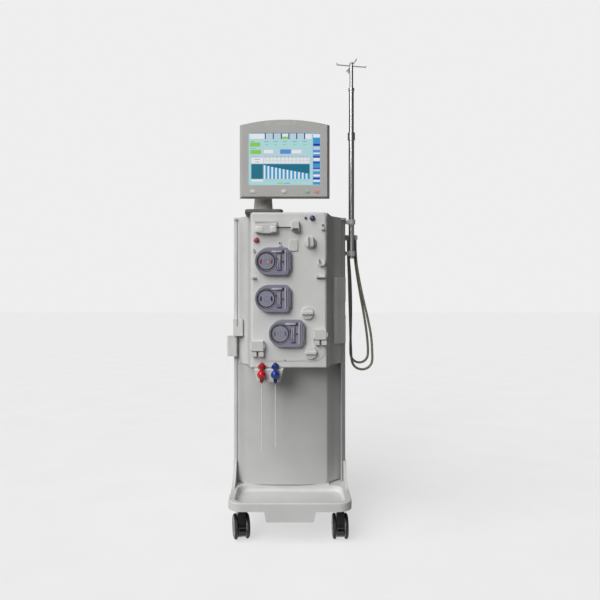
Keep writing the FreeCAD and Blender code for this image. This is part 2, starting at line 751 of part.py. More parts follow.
def surround_plan():
    """Plan outline of the waist: its edges stand proud of the column rails."""
    edge_y = COLUMN_FRONT_Y - RAIL_SETBACK
    points = [
        (-COVER_HALF, edge_y), (WAIST_LEFT_X, WAIST_Y), (MODULE_LEFT - 3, MODULE_BACK_Y),
        (MODULE_RIGHT + 3, MODULE_BACK_Y), (WAIST_RIGHT_X, WAIST_Y), (COVER_HALF, edge_y),
        (COVER_HALF, COLUMN_FRONT_Y + WALL), (-COVER_HALF, COLUMN_FRONT_Y + WALL),
    ]
    return points, [3, WAIST_ROUND, 0, 0, WAIST_ROUND, 3, 0, 0]


def hollow_plan(points, radii, z0, z1, floor_z):
    """A walled prism, open behind and above floor_z."""
    outer = plan_plate(points, radii, z0, z1)
    loop = rounded_loop([Vec(x, y, floor_z) for x, y in points], radii)
    inner = Part.Face(loop).makeOffset2D(-WALL).extrude(UP * (z1 - floor_z))
    back = block(
        -CABINET_HALF + COLUMN_RAIL + WALL + SEAM * 2, CABINET_HALF - COLUMN_RAIL - WALL - SEAM * 2,
        COLUMN_FRONT_Y - 1, COLUMN_FRONT_Y + WALL + 1, floor_z, z1,
    )
    return outer.cut(inner).cut(back)


def make_module_surround():
    points, radii = surround_plan()
    shell = hollow_plan(points, radii, MODULE_BOTTOM, COVER_TOP, MODULE_BOTTOM + WALL)
    window = block(
        MODULE_LEFT + 20, MODULE_RIGHT - 20, MODULE_BACK_Y - 1, MODULE_BACK_Y + WALL + 1,
        MODULE_BOTTOM + 30, COVER_TOP,
    )
    return fused(shell.cut(window), *make_flank_pad())


def make_flank_pad():
    """Raised pad on the right flank that reaches over the column rail, with a finger groove."""
    x = COVER_HALF
    y = COLUMN_FRONT_Y
    pieces = []
    levels = (
        (FLANK_PAD_BOTTOM, FLANK_GROOVE_BOTTOM, 0),
        (FLANK_GROOVE_BOTTOM - 1, FLANK_GROOVE_TOP + 1, FLANK_GROOVE),
        (FLANK_GROOVE_TOP, FLANK_PAD_TOP, 0),
    )
    for low, high, back in levels:
        points = [
            (x - 37, y - 54 + back), (x - 20, y + FLANK_PAD_FRONT + back), (x + 19 - back, y - 16),
            (x + 19 - back, y - SEAT_GAP), (x - 1, y - SEAT_GAP), (x - 1, y - RAIL_SETBACK + 0.5),
            (x - 3.5, y - RAIL_SETBACK - 2.3), (x - 35, y - 46.5),
        ]
        piece = plan_plate(points, [0, 10, 6, 0, 0, 0, 0, 0], low, high)
        pieces.append(eased(piece, 2, 2, high) if back == 0 else piece)
    return pieces


def make_lower_front_cover():
    """Softly curved lower cover with a step at its right side."""
    edge_y = COLUMN_FRONT_Y - RAIL_SETBACK
    points = [
        (-COVER_HALF, edge_y), (LOWER_LEFT_X, LOWER_FRONT_Y), (LOWER_RIGHT_X, LOWER_FRONT_Y),
        (LOWER_RIGHT_X + 3, LOWER_STEP_Y), (COVER_HALF, edge_y),
        (COVER_HALF, COLUMN_FRONT_Y + WALL), (-COVER_HALF, COLUMN_FRONT_Y + WALL),
    ]
    radii = [3, 46, 16, 10, 3, 0, 0]
    z0 = BASE_TOP + PLINTH_HEIGHT
    outer = plan_plate(points, radii, z0, MODULE_BOTTOM)
    loop = rounded_loop([Vec(x, y, z0) for x, y in points], radii)
    inner = Part.Face(loop).makeOffset2D(-WALL).extrude(UP * (MODULE_BOTTOM - z0))
    back = block(
        -COVER_HALF + WALL + 1, COVER_HALF - WALL - 1, COLUMN_FRONT_Y, COLUMN_FRONT_Y + WALL + 1,
        z0, MODULE_BOTTOM,
    )
    return outer.cut(inner).cut(back)


def make_top_cover():
    """Lid over the cabinet and the waist, level with the waist's edges over the rails."""
    edge_y = COLUMN_FRONT_Y - RAIL_SETBACK
    points = [
        (-CABINET_HALF, edge_y), (-COVER_HALF, edge_y), (WAIST_LEFT_X, WAIST_Y),
        (MODULE_LEFT - 3, MODULE_BACK_Y), (MODULE_RIGHT + 3, MODULE_BACK_Y),
        (WAIST_RIGHT_X, WAIST_Y), (COVER_HALF, edge_y), (CABINET_HALF, edge_y),
        (CABINET_HALF, CABINET_BACK_Y), (-CABINET_HALF, CABINET_BACK_Y),
    ]
    radii = [6, 0, WAIST_ROUND, 0, 0, WAIST_ROUND, 0, 6, REAR_CORNER, REAR_CORNER]
    return plan_plate(points, radii, COVER_TOP, CABINET_TOP)


def make_push_handle():
    """Tubular grip across the back on two posts."""
    z = HANDLE_Z
    y = CABINET_BACK_Y + HANDLE_REACH
    grip = rod(HANDLE_RADIUS, Vec(-HANDLE_SPAN / 2, y, z), Vec(HANDLE_SPAN / 2, y, z))
    pieces = [grip]
    for side in (-1, 1):
        root = Vec(side * (HANDLE_SPAN / 2 - HANDLE_POST_INSET), CABINET_BACK_Y, z)
        pieces.append(rod(HANDLE_RADIUS * 0.8, root, root + BACK * HANDLE_REACH))
        pieces.append(rod(HANDLE_RADIUS * 1.6, root, root + BACK * HANDLE_FLANGE))
    return fused(*pieces)


# Inner units

def make_hydraulic_unit():
    """Manifold, heater, degassing and balance chambers and a gear pump on the lowest shelf."""
    z = SHELF_HEIGHTS[0]
    back = UNIT_FRONT_Y + MANIFOLD_DEPTH
    manifold = block(-MANIFOLD_HALF, MANIFOLD_HALF, UNIT_FRONT_Y, back, z, z + MANIFOLD_HEIGHT)
    unit = [manifold]
    for side in (-1, 1):
        centre = Vec(side * BALANCE_RADIUS * 1.25, UNIT_FRONT_Y, z + MANIFOLD_HEIGHT * 0.6)
        unit.append(rod(BALANCE_RADIUS, centre, centre - BACK * BALANCE_RADIUS))
    pieces = [fused(*unit)]
    for x, radius, height in STANDING_VESSELS:
        root = Vec(x, back + STANDING_GAP + HEATER_RADIUS, z)
        pieces.append(rod(radius, root, root + UP * height))
    return together(*pieces)


def make_electronics_unit():
    """Power supply on the middle shelf and a card cage on the upper shelf."""
    middle = SHELF_HEIGHTS[1]
    upper = SHELF_HEIGHTS[2]
    back = UNIT_FRONT_Y + SUPPLY_DEPTH
    supply = block(-SUPPLY_HALF, SUPPLY_HALF, UNIT_FRONT_Y, back, middle, middle + SUPPLY_HEIGHT)
    supply = eased(supply, 4, 2, middle + SUPPLY_HEIGHT)
    pieces = [block(-CAGE_HALF, CAGE_HALF, UNIT_FRONT_Y - 10, back + 10, upper, upper + CAGE_FLOOR)]
    for index in range(CARD_COUNT):
        x = (index - (CARD_COUNT - 1) / 2) * CARD_PITCH
        pieces.append(block(
            x, x + CARD_THICKNESS, UNIT_FRONT_Y, back, upper + CAGE_FLOOR - 1, upper + CARD_HEIGHT,
        ))
    return together(supply, fused(*pieces))


def make_pump_motors():
    """A gearbox and motor behind the panel for each pump."""
    front = MODULE_FRONT_Y + WALL
    motors = []
    for x, z in PUMP_CENTRES:
        half = GEARBOX_SIZE / 2
        gearbox = front_pad(x - half, x + half, z - half, z + half, 8, front, front + GEARBOX_DEPTH)
        rear = front + GEARBOX_DEPTH
        motor = rod(MOTOR_RADIUS, Vec(x, rear - 1, z), Vec(x, rear + MOTOR_LENGTH, z))
        bore = rod(ROTOR_SHAFT_RADIUS + RUNNING_GAP, Vec(x, front, z), Vec(x, rear - WALL, z))
        motors.append(fused(gearbox, motor).cut(bore))
    return together(*motors)


# Front module

def module_outline(margin, bottom):
    return [
        (MODULE_LEFT + margin, bottom), (MODULE_RIGHT - margin, bottom),
        (MODULE_RIGHT - margin, CABINET_TOP - margin), (MODULE_LEFT + margin, CABINET_TOP - margin),
    ]


def make_front_module_shell():
    """Front panel: a dished shell with a raised door whose lower corners are round."""
    band_y = MODULE_FRONT_Y + DOOR_RISE
    shell = front_plate(module_outline(0, MODULE_BOTTOM), [6, 6, 16, 8], band_y, MODULE_BACK_Y)
    shell = eased(shell, MODULE_ROUND, 1, band_y)
    door = front_plate(
        module_outline(MODULE_ROUND, DOOR_BOTTOM), [DOOR_CORNER, DOOR_CORNER, DOOR_TOP_CORNER, 6],
        MODULE_FRONT_Y, band_y + 1,
    )
    door = eased(door, DOOR_RISE * 0.8, 1, MODULE_FRONT_Y)
    room = front_pad(
        MODULE_LEFT + WALL, MODULE_RIGHT - WALL, MODULE_BOTTOM + WALL, CABINET_TOP - WALL, 6,
        MODULE_FRONT_Y + WALL, MODULE_BACK_Y,
    )
    shell = fused(shell, door)
    shell = shell.cut(room)
    holes = [(x, z, ROTOR_SHAFT_RADIUS) for x, z in PUMP_CENTRES]
    holes += [(x, z, KNOB_SHAFT_RADIUS) for x, z in KNOB_CENTRES]
    for x, z, radius in holes:
        front = Vec(x, MODULE_FRONT_Y - 1, z)
        shell = shell.cut(rod(radius + RUNNING_GAP, front, Vec(x, MODULE_BACK_Y, z)))
    return shell


# Pumps

def pump_plate(x, z, grow, y0, y1):
    """A plate of the pump head's outline about one pump centre."""
    radius = PUMP_BACK_RADIUS + grow
    centre_x = x + PUMP_BACK_OFFSET
    right = x + PUMP_REACH + grow
    corner = PUMP_CORNER + grow
    top = z + 1 + radius
    bottom = z + 1 - radius
    upper = corner_arc(Vec(centre_x, y0, top), Vec(right, y0, top), Vec(right, y0, z), corner)
    lower = corner_arc(Vec(right, y0, z), Vec(right, y0, bottom), Vec(centre_x, y0, bottom), corner)
    edges = [
        Part.LineSegment(Vec(centre_x, y0, top), upper[0]).toShape(),
        Part.Arc(*upper).toShape(),
        Part.LineSegment(upper[2], lower[0]).toShape(),
        Part.Arc(*lower).toShape(),
        Part.LineSegment(lower[2], Vec(centre_x, y0, bottom)).toShape(),
        Part.Arc(
            Vec(centre_x, y0, bottom), Vec(centre_x - radius, y0, z + 1), Vec(centre_x, y0, top),
        ).toShape(),
    ]
    return Part.Face(Part.Wire(edges)).extrude(BACK * (y1 - y0))


def pump_hinge(x, z):
    """The middle of the cover's upright hinge pin, at the right edge of the head."""
    return Vec(x + PUMP_REACH + PUMP_HINGE_INSET, PUMP_COVER_BACK_Y + 1, z + 1)


def make_pump_housing(x, z):
    """Race block: round race, two tube channels to the right, and the cover's hinge pin."""
    back = MODULE_FRONT_Y
    front = back - PUMP_BODY_DEPTH
    body = pump_plate(x, z, 0, front, back)
    race = rod(RACE_RADIUS, Vec(x, front, z), Vec(x, front + RACE_DEPTH, z))
    body = body.cut(race)
    for side in (-1, 1):
        level = z + side * (RACE_RADIUS - TUBE_CHANNEL / 2 - 1)
        body = body.cut(block(
            x, x + PUMP_REACH - 14, front, front + TUBE_CHANNEL,
            level - TUBE_CHANNEL / 2, level + TUBE_CHANNEL / 2,
        ))
    body = body.cut(rod(ROTOR_SHAFT_RADIUS + RUNNING_GAP, Vec(x, front, z), Vec(x, back, z)))
    hinge = pump_hinge(x, z)
    ears = []
    for side in (-1, 1):
        middle = hinge + UP * (side * PUMP_EAR_REACH)
        ear = rod(PUMP_HINGE_RADIUS + 1.5, middle - UP * PUMP_EAR_HALF, middle + UP * PUMP_EAR_HALF)
        web = block(
            x + PUMP_REACH - 3, hinge.x, hinge.y + 0.5, back,
            middle.z - PUMP_EAR_HALF, middle.z + PUMP_EAR_HALF,
        )
        ears.append(ear)
        ears.append(web)
    pin = rod(PUMP_HINGE_RADIUS - 1, hinge - UP * PUMP_EAR_REACH, hinge + UP * PUMP_EAR_REACH)
    return fused(body, pin, *ears)


def make_pump_cover(x, z):
    """Hinged cover with a round window, a recessed field and three narrow slots."""
    back = PUMP_COVER_BACK_Y
    front = PUMP_COVER_FRONT_Y
    cover = pump_plate(x, z, 0, front, back)
    cover = eased(cover, 2.5, 1, front)
    cover = cover.cut(rod(WINDOW_RADIUS, Vec(x, front - 1, z), Vec(x, back + 1, z)))
    left, right, low, high = PUMP_FIELD
    field = front_pad(x + left, x + right, z + low, z + high, 5, front, front + PUMP_FIELD_DEPTH)
    cover = cover.cut(field)
    for dx, low, high in PUMP_SLOTS:
        slot_left = x + dx - PUMP_SLOT_WIDTH / 2
        cover = cover.cut(block(slot_left, slot_left + PUMP_SLOT_WIDTH, front, back, z + low, z + high))
    hinge = pump_hinge(x, z)
    reach = PUMP_EAR_REACH - PUMP_EAR_HALF - SEAT_GAP
    barrel = rod(PUMP_HINGE_RADIUS + 1.5, hinge - UP * reach, hinge + UP * reach)
    leaf = block(x + PUMP_REACH - 3, hinge.x, front + 3, back, z + 1 - reach, z + 1 + reach)
    cover = fused(cover, leaf, barrel)
    return cover.cut(rod(PUMP_HINGE_RADIUS - 1 + RUNNING_GAP, hinge - UP * reach, hinge + UP * reach))


def make_pump_rotor(x, z):
    """Front disc with two finger pockets, rear disc, hub and shaft, and two rollers on pins."""
    front = PUMP_COVER_FRONT_Y + 1
    plate_back = front + ROTOR_PLATE
    race_floor = MODULE_FRONT_Y - PUMP_BODY_DEPTH + RACE_DEPTH
    rear_front = race_floor - SEAT_GAP - ROTOR_REAR_PLATE
    rear_back = rear_front + ROTOR_REAR_PLATE
    disc = rod(ROTOR_RADIUS, Vec(x, front, z), Vec(x, plate_back, z))
    disc = eased(disc, 2, 1, front)
    offset, width, height, depth = FINGER_POCKET
    for side in (-1, 1):
        left = x + side * offset - width / 2
        pocket = front_pad(
            left, left + width, z - height / 2, z + height / 2, width * 0.44, front - 1, front + depth,
        )
        disc = disc.cut(pocket)
    rear = rod(ROTOR_RADIUS - 5, Vec(x, rear_front, z), Vec(x, rear_back, z))
    hub = rod(ROTOR_HUB_RADIUS, Vec(x, plate_back, z), Vec(x, rear_front, z))
    shaft_end = MODULE_FRONT_Y + GEARBOX_DEPTH - WALL
    pieces = [disc, rear, hub, rod(ROTOR_SHAFT_RADIUS, Vec(x, rear_front, z), Vec(x, shaft_end, z))]
    rollers = []
    for side in (-1, 1):
        level = z + side * ROLLER_ORBIT
        start = Vec(x, plate_back, level)
        end = Vec(x, rear_front, level)
        bore = ROLLER_PIN_RADIUS + RUNNING_GAP
        rollers.append(pipe(ROLLER_RADIUS, bore, start + BACK * 0.4, end - BACK * 0.4))
        pieces.append(rod(ROLLER_PIN_RADIUS, start - BACK, end + BACK * 2))
        lug = (level - side * 13, level + side * 4)
        pieces.append(block(x - 5, x + 5, rear_front, rear_back, min(lug), max(lug)))
    return together(fused(*pieces), *rollers)


# Small front pieces

def make_syringe_holder():
    """Bar with a bowed lower edge and a lip behind its top, bored for the drive rod."""
    back = MODULE_FRONT_Y
    front = back - SYRINGE_BODY_DEPTH
    top = SYRINGE_Z + 14
    low = SYRINGE_Z - 18
    middle = (SYRINGE_LEFT + SYRINGE_RIGHT) / 2
    corners = [
        Vec(SYRINGE_LEFT, front, low), Vec(SYRINGE_LEFT, front, top),
        Vec(SYRINGE_RIGHT, front, top), Vec(SYRINGE_RIGHT, front, low),
    ]
    edges = [Part.LineSegment(corners[i], corners[i + 1]).toShape() for i in range(3)]
    belly = Part.Arc(corners[3], Vec(middle, front, low - SYRINGE_BELLY), corners[0])
    edges.append(belly.toShape())
    bar = Part.Face(Part.Wire(edges)).extrude(BACK * SYRINGE_BODY_DEPTH)
    bar = eased(bar, SYRINGE_EDGE_ROUND, 1, front)
    lip = front_pad(SYRINGE_LEFT, SYRINGE_RIGHT, top - 1, top + 12, 2, back - 7, back)
    rod_y = back - SYRINGE_BODY_DEPTH / 2
    bore = rod(
        SYRINGE_ROD_RADIUS + RUNNING_GAP,
        Vec(SYRINGE_RIGHT - SYRINGE_TRAVEL - 16, rod_y, SYRINGE_Z), Vec(SYRINGE_RIGHT + 1, rod_y, SYRINGE_Z),
    )
    return fused(bar, lip).cut(bore)


def make_syringe_drive():
    """Pusher head on a round rod that slides into the holder."""
    y = MODULE_FRONT_Y - SYRINGE_BODY_DEPTH / 2
    left = SYRINGE_RIGHT + SYRINGE_ROD_REACH
    shaft = rod(SYRINGE_ROD_RADIUS, Vec(SYRINGE_RIGHT - 12, y, SYRINGE_Z), Vec(left + 2, y, SYRINGE_Z))
    points = [
        (left, SYRINGE_Z - 10), (left + 8, SYRINGE_Z - 15), (left + 33, SYRINGE_Z - 15),
        (left + 33, SYRINGE_Z + 26), (left + 4, SYRINGE_Z + 26), (left, SYRINGE_Z + 18),
    ]
    head = front_plate(points, [2, 2, 3, 3, 2, 2], MODULE_FRONT_Y - 27, MODULE_FRONT_Y - SEAT_GAP)
    head = eased(head, 3, 1, MODULE_FRONT_Y - 27)
    return fused(shaft, head)


def make_front_fittings():
    """Two pressure ports, the raised pad and the tube clips, all seated on the door."""
    y = MODULE_FRONT_Y
    pieces = []
    for x, z in PRESSURE_PORTS:
        base = Vec(x, y, z)
        cone = Part.makeCone(10, 8.5, 7, base, Vec(0, -1, 0))
        spout = rod(4.5, base - BACK * 6, base - BACK * 15)
        pieces.append(fused(cone, spout).cut(rod(2.2, base - BACK * 3, base - BACK * 16)))
    x, z = STATUS_DOT
    pieces.append(rod(5, Vec(x, y, z), Vec(x, y - 2, z)))
    pad = front_pad(*DOOR_PAD, 8, y - 5, y)
    pieces.append(eased(pad, 3, 1, y - 5))
    for place in TUBE_CLIPS:
        pieces.append(make_clip(*place))
    pieces.append(make_hook(*TUBE_HOOK))
    left, right, low = DOOR_SHELF
    shelf = front_pad(left, right, low, low + 4, 1.5, y - 14, y)
    stops = [block(x0, x0 + 5, y - 14, y, low + 3, low + 11) for x0 in (left + 1, right - 6)]
    pieces.append(fused(shelf, *stops))
    return together(*pieces)


def make_clip(x, z, width, height):
    """A small tube clip: a foot and a curled finger."""
    y = MODULE_FRONT_Y
    foot = front_pad(x - width / 2, x + width / 2, z - height / 2, z + height / 2, 2, y - 4, y)
    finger = front_pad(x - width / 2, x + width / 2, z - height / 2, z - height / 2 + 4, 1.5, y - 13, y - 3)
    tip = front_pad(x - width / 2, x + width / 2, z - height / 2, z, 1.5, y - 15, y - 12)
    return fused(foot, finger, tip)


def make_hook(x, z):
    """A U-shaped tube rest."""
    y = MODULE_FRONT_Y
    outer = front_plate([(x - 15, z + 15), (x - 15, z - 14), (x + 15, z - 14), (x + 15, z + 15)],
                        [2, 12, 12, 2], y - 14, y)
    inner = front_plate([(x - 9, z + 17), (x - 9, z - 8), (x + 9, z - 8), (x + 9, z + 17)],
                        [0, 8, 8, 0], y - 15, y + 1)
    return outer.cut(inner)


def make_air_detector():
    """Round boss with an upright slotted body for the blood line."""
    y = MODULE_FRONT_Y
    boss = rod(DETECTOR_RADIUS, Vec(DETECTOR_X, y, DETECTOR_Z), Vec(DETECTOR_X, y - 9, DETECTOR_Z))
    boss = eased(boss, 3, 1, y - 9)
    body = front_pad(DETECTOR_X - 14, DETECTOR_X + 14, DETECTOR_Z - 18, DETECTOR_Z + 24, 6, y - 28, y - 8)
    body = eased(body, 3, 1, y - 28)
    slot = block(
        DETECTOR_X - DETECTOR_SLOT / 2 - 3, DETECTOR_X + DETECTOR_SLOT / 2 - 3, y - 30, y - 14,
        DETECTOR_Z - 20, DETECTOR_Z + 30,
    )
    return fused(boss, body).cut(slot)


def make_port_knob(x, z):
    """Round knob with a grip bar across it and a shaft into the panel."""
    back = MODULE_FRONT_Y - SEAT_GAP
    front = back - KNOB_DEPTH
    disc = rod(KNOB_RADIUS, Vec(x, back, z), Vec(x, front, z))
    disc = eased(disc, 3, 1, front)
    points = [(-KNOB_RADIUS + 3, -5), (KNOB_RADIUS - 3, -5), (KNOB_RADIUS - 3, 7), (-KNOB_RADIUS + 3, 7)]
    bar = front_plate([(x + dx, z + dz) for dx, dz in points], [3, 3, 5, 5], front - 11, front + 1)
    bar = eased(bar, 2, 1, front - 11)
    shaft = rod(KNOB_SHAFT_RADIUS, Vec(x, back - 1, z), Vec(x, MODULE_FRONT_Y + WALL + 8, z))
    return fused(disc, bar, shaft)


def clamp_frame(index):
    left = CLAMP_LEFTS[index]
    bottom = CLAMP_BOTTOMS[index]
    return left, left + CLAMP_WIDTH, bottom


def clamp_hinge(index):
    left, right, bottom = clamp_frame(index)
    z = bottom + CLAMP_BLOCK_HEIGHT + CLAMP_COVER_GAP + CLAMP_COVER_HEIGHT / 2
    return Vec(left - CLAMP_HINGE_OUT, MODULE_FRONT_Y - CLAMP_BODY_DEPTH - 1, z)


def make_clamp_body(index):
    """Clamp base with an upright tube channel, a lower block and the cover's hinge ears."""
    left, right, bottom = clamp_frame(index)
    back = MODULE_FRONT_Y
    top = bottom + CLAMP_BLOCK_HEIGHT + CLAMP_COVER_GAP + CLAMP_COVER_HEIGHT
    base = front_pad(left, right, bottom, top, 2, back - CLAMP_BODY_DEPTH, back)
    lower = front_pad(
        left, right, bottom, bottom + CLAMP_BLOCK_HEIGHT, 2, back - CLAMP_BODY_DEPTH - 11, back - 1,
    )
    body = fused(base, lower)
    middle = (left + right) / 2
    channel = block(
        middle - CLAMP_CHANNEL / 2, middle + CLAMP_CHANNEL / 2,
        back - CLAMP_BODY_DEPTH - 20, back - CLAMP_BODY_DEPTH + CLAMP_CHANNEL, bottom - 1, top + 1,
    )
    body = body.cut(channel)
    hinge = clamp_hinge(index)
    ears = []
    for side in (-1, 1):
        level = hinge.z + side * (CLAMP_COVER_HEIGHT / 2 - 3)
        ear = Vec(hinge.x, hinge.y, level)
        ears.append(rod(CLAMP_PIN_RADIUS + 1.5, ear - UP * 3, ear + UP * 3))
        ears.append(block(hinge.x, left + 2, hinge.y + 1, back, level - 3, level + 3))
    reach = CLAMP_COVER_HEIGHT / 2 - 3
    pin = rod(CLAMP_PIN_RADIUS, hinge - UP * reach, hinge + UP * reach)
    return fused(body, pin, *ears)


def make_clamp_cover(index):
    """Square cover with a latch tab at its right edge."""
    left, right, bottom = clamp_frame(index)
    back = MODULE_FRONT_Y - CLAMP_BODY_DEPTH - SEAT_GAP
    front = back - CLAMP_COVER_DEPTH
    low = bottom + CLAMP_BLOCK_HEIGHT + CLAMP_COVER_GAP
    cover = front_pad(left, right, low, low + CLAMP_COVER_HEIGHT, 3, front, back)
    cover = eased(cover, 2.5, 1, front)
    latch = front_pad(right - 2, right + 5, low + 12, low + 30, 2, front + 3, back - 1)
    hinge = clamp_hinge(index)
    reach = CLAMP_COVER_HEIGHT / 2 - 6 - SEAT_GAP
    barrel = rod(CLAMP_PIN_RADIUS + 1.5, hinge - UP * reach, hinge + UP * reach)
    leaf = block(hinge.x, left + 2, front + 6, back, hinge.z - reach, hinge.z + reach)
    cover = fused(cover, latch, leaf, barrel)
    return cover.cut(rod(CLAMP_PIN_RADIUS + RUNNING_GAP, hinge - UP * reach, hinge + UP * reach))


# Wands

def make_wand_holder():
    """Tapered holder under the module with a front-open slot for each wand."""
    top = MODULE_BOTTOM
    bottom = top - WAND_HOLDER_HEIGHT
    points = [
        (WAND_HOLDER_LEFT, top), (WAND_HOLDER_RIGHT, top),
        (WAND_HOLDER_RIGHT - WAND_HOLDER_TAPER, bottom), (WAND_HOLDER_LEFT + WAND_HOLDER_TAPER, bottom),
    ]
    body = front_plate(points, [0, 0, 12, 12], WAND_HOLDER_FRONT_Y, WAND_HOLDER_BACK_Y)
    body = eased(body, 4, 1, WAND_HOLDER_FRONT_Y)
    for x in WAND_XS:
        reach = WAND_STEM_RADIUS + SEAT_GAP
        slot_points = [
            (x - reach, WAND_HOLDER_FRONT_Y - 1), (x + reach, WAND_HOLDER_FRONT_Y - 1),
            (x + reach, WAND_Y + reach), (x - reach, WAND_Y + reach),
        ]
        slot = plan_plate(slot_points, [0, 0, reach * 0.98, reach * 0.98], bottom - 1, top + 1)
        body = body.cut(slot)
    return body


def make_wand(x, rod_bottom):
    """Connector cap with a front neck and bulb, a stem in the holder's slot and a long thin rod."""
    seat = MODULE_BOTTOM + SEAT_GAP
    base = Vec(x, WAND_Y, seat)
    cap = rod(WAND_CAP_RADIUS, base, base + UP * 10)
    crown = Part.makeCone(WAND_CAP_RADIUS, 4, 14, base + UP * 10)
    stem_end = Vec(x, WAND_Y, MODULE_BOTTOM - WAND_HOLDER_HEIGHT - 3)
    stem = rod(WAND_STEM_RADIUS, stem_end, Vec(x, WAND_Y, seat + 1))
    thin = rod(WAND_ROD_RADIUS, Vec(x, WAND_Y, rod_bottom), Vec(x, WAND_Y, seat))
    front = Vec(x, WAND_HOLDER_FRONT_Y - WAND_BULB_RADIUS - 1.5, MODULE_BOTTOM - 20)
    bulb = Part.makeSphere(WAND_BULB_RADIUS, front)
    neck = rod(8, front, front + UP * (20 + SEAT_GAP + 9))
    bridge = rod(8, Vec(x, front.y, seat + 8.5), Vec(x, WAND_Y, seat + 8.5))
    return fused(cap, crown, stem, thin, bulb, neck, bridge)


# Monitor

def monitor_wire(inset, y):
    """The monitor's outline in a plane, drawn in by an inset on every side."""
    left = MONITOR_LEFT + inset
    right = MONITOR_RIGHT - inset
    bottom = MONITOR_BOTTOM + inset * 0.4
    shoulder = MONITOR_SHOULDER - inset * 0.4
    peak = MONITOR_PEAK - inset * 0.4
    middle = (left + right) / 2
    edges = [
        Part.LineSegment(Vec(left, y, bottom), Vec(right, y, bottom)).toShape(),
        Part.LineSegment(Vec(right, y, bottom), Vec(right, y, shoulder)).toShape(),
        Part.Arc(Vec(right, y, shoulder), Vec(middle, y, peak), Vec(left, y, shoulder)).toShape(),
        Part.LineSegment(Vec(left, y, shoulder), Vec(left, y, bottom)).toShape(),
    ]
    return Part.Wire(edges)


def monitor_solid():
    front_y = MONITOR_FRONT_Y
    rim_y = front_y + MONITOR_RIM
    band_y = rim_y + MONITOR_BAND
    back_y = band_y + MONITOR_TAPER
    face = Part.makeLoft([monitor_wire(11, front_y), monitor_wire(0, rim_y)], True, True)
    band = Part.Face(monitor_wire(0, rim_y)).extrude(BACK * MONITOR_BAND)
    taper = Part.makeLoft([monitor_wire(0, band_y), monitor_wire(60, back_y)], True, True)
    return fused(face, band, taper)


MONITOR_BACK_Y = MONITOR_FRONT_Y + MONITOR_RIM + MONITOR_BAND + MONITOR_TAPER


def alarm_tool():
    top = MONITOR_PEAK + 10
    points = [
        (ALARM_LEFT, top), (ALARM_LEFT, ALARM_BOTTOM), (ALARM_RIGHT - ALARM_SLANT, ALARM_BOTTOM),
        (ALARM_RIGHT, MONITOR_PEAK), (ALARM_RIGHT, top),
    ]
    return front_plate(points, [0, 3, 0, 0, 0], MONITOR_FRONT_Y - 1, MONITOR_FRONT_Y + ALARM_DEPTH)


def key_pad(x, grow, y0, y1):
    width = KEY_WIDTH / 2 + grow
    height = KEY_HEIGHT / 2 + grow
    return front_pad(x - width, x + width, KEY_Z - height, KEY_Z + height, height * 0.98, y0, y1)


def make_monitor_case():
    """Bezel and back shell in one, with the screen recess, key pockets and tilt ears."""
    case = monitor_solid()
    case = case.cut(front_pad(
        SCREEN_LEFT, SCREEN_RIGHT, SCREEN_BOTTOM, SCREEN_TOP, 2,
        MONITOR_FRONT_Y - 1, MONITOR_FRONT_Y + SCREEN_DEPTH,
    ))
    case = case.cut(alarm_tool())
    for x in KEY_XS:
        case = case.cut(key_pad(x, SEAT_GAP, MONITOR_FRONT_Y - 1, MONITOR_FRONT_Y + KEY_POCKET))
    middle = (MONITOR_LEFT + MONITOR_RIGHT) / 2
    ears = []
    for side in (-1, 1):
        x0 = middle + side * (TILT_BARREL_HALF + SEAT_GAP)
        x1 = x0 + side * TILT_EAR
        low = min(x0, x1)
        high = max(x0, x1)
        ears.append(block(
            low, high, MONITOR_BACK_Y - 6, TILT_Y, TILT_Z - TILT_BARREL_RADIUS, TILT_Z + TILT_BARREL_RADIUS,
        ))
        ears.append(rod(TILT_BARREL_RADIUS, Vec(low, TILT_Y, TILT_Z), Vec(high, TILT_Y, TILT_Z)))
    reach = TILT_BARREL_HALF + 3
    pin = rod(TILT_PIN_RADIUS, Vec(middle - reach, TILT_Y, TILT_Z), Vec(middle + reach, TILT_Y, TILT_Z))
    return fused(case, pin, *ears)


def make_monitor_screen():
    return front_pad(
        SCREEN_LEFT, SCREEN_RIGHT, SCREEN_BOTTOM, SCREEN_TOP, 2,
        MONITOR_FRONT_Y + 0.5, MONITOR_FRONT_Y + SCREEN_DEPTH,
    )


def make_alarm_light():
    return monitor_solid().common(alarm_tool())


def make_monitor_key(x):
    y0 = MONITOR_FRONT_Y - KEY_TRAVEL - 0.5
    key = key_pad(x, 0, y0, MONITOR_FRONT_Y + KEY_POCKET - KEY_TRAVEL - SEAT_GAP)
    return eased(key, 1, 1, y0)


FOOT_TOP = CABINET_TOP + FOOT_GAP + FOOT_THICKNESS


def make_monitor_foot():
    """Foot plate on a raised ring on the lid, with the swivel pin."""
    low = CABINET_TOP + FOOT_GAP
    plate = plan_pad(FOOT_LEFT, FOOT_RIGHT, NECK_Y - 62, NECK_Y + 50, 22, low, FOOT_TOP)
    plate = eased(plate, 4, 2, FOOT_TOP)
    ring = rod(46, Vec(NECK_X, NECK_Y, CABINET_TOP), Vec(NECK_X, NECK_Y, low + 1))
    pin_top = FOOT_TOP + SWIVEL_PIN_ROOM - 1
    pin = rod(SWIVEL_PIN_RADIUS, Vec(NECK_X, NECK_Y, low), Vec(NECK_X, NECK_Y, pin_top))
    return fused(plate, ring, pin)


def ellipse_wire(x, y, z, across, deep):
    if across >= deep:
        curve = Part.Ellipse(Vec(x + across, y, z), Vec(x, y + deep, z), Vec(x, y, z))
    else:
        curve = Part.Ellipse(Vec(x, y + deep, z), Vec(x - across, y, z), Vec(x, y, z))
    return Part.Wire([curve.toShape()])


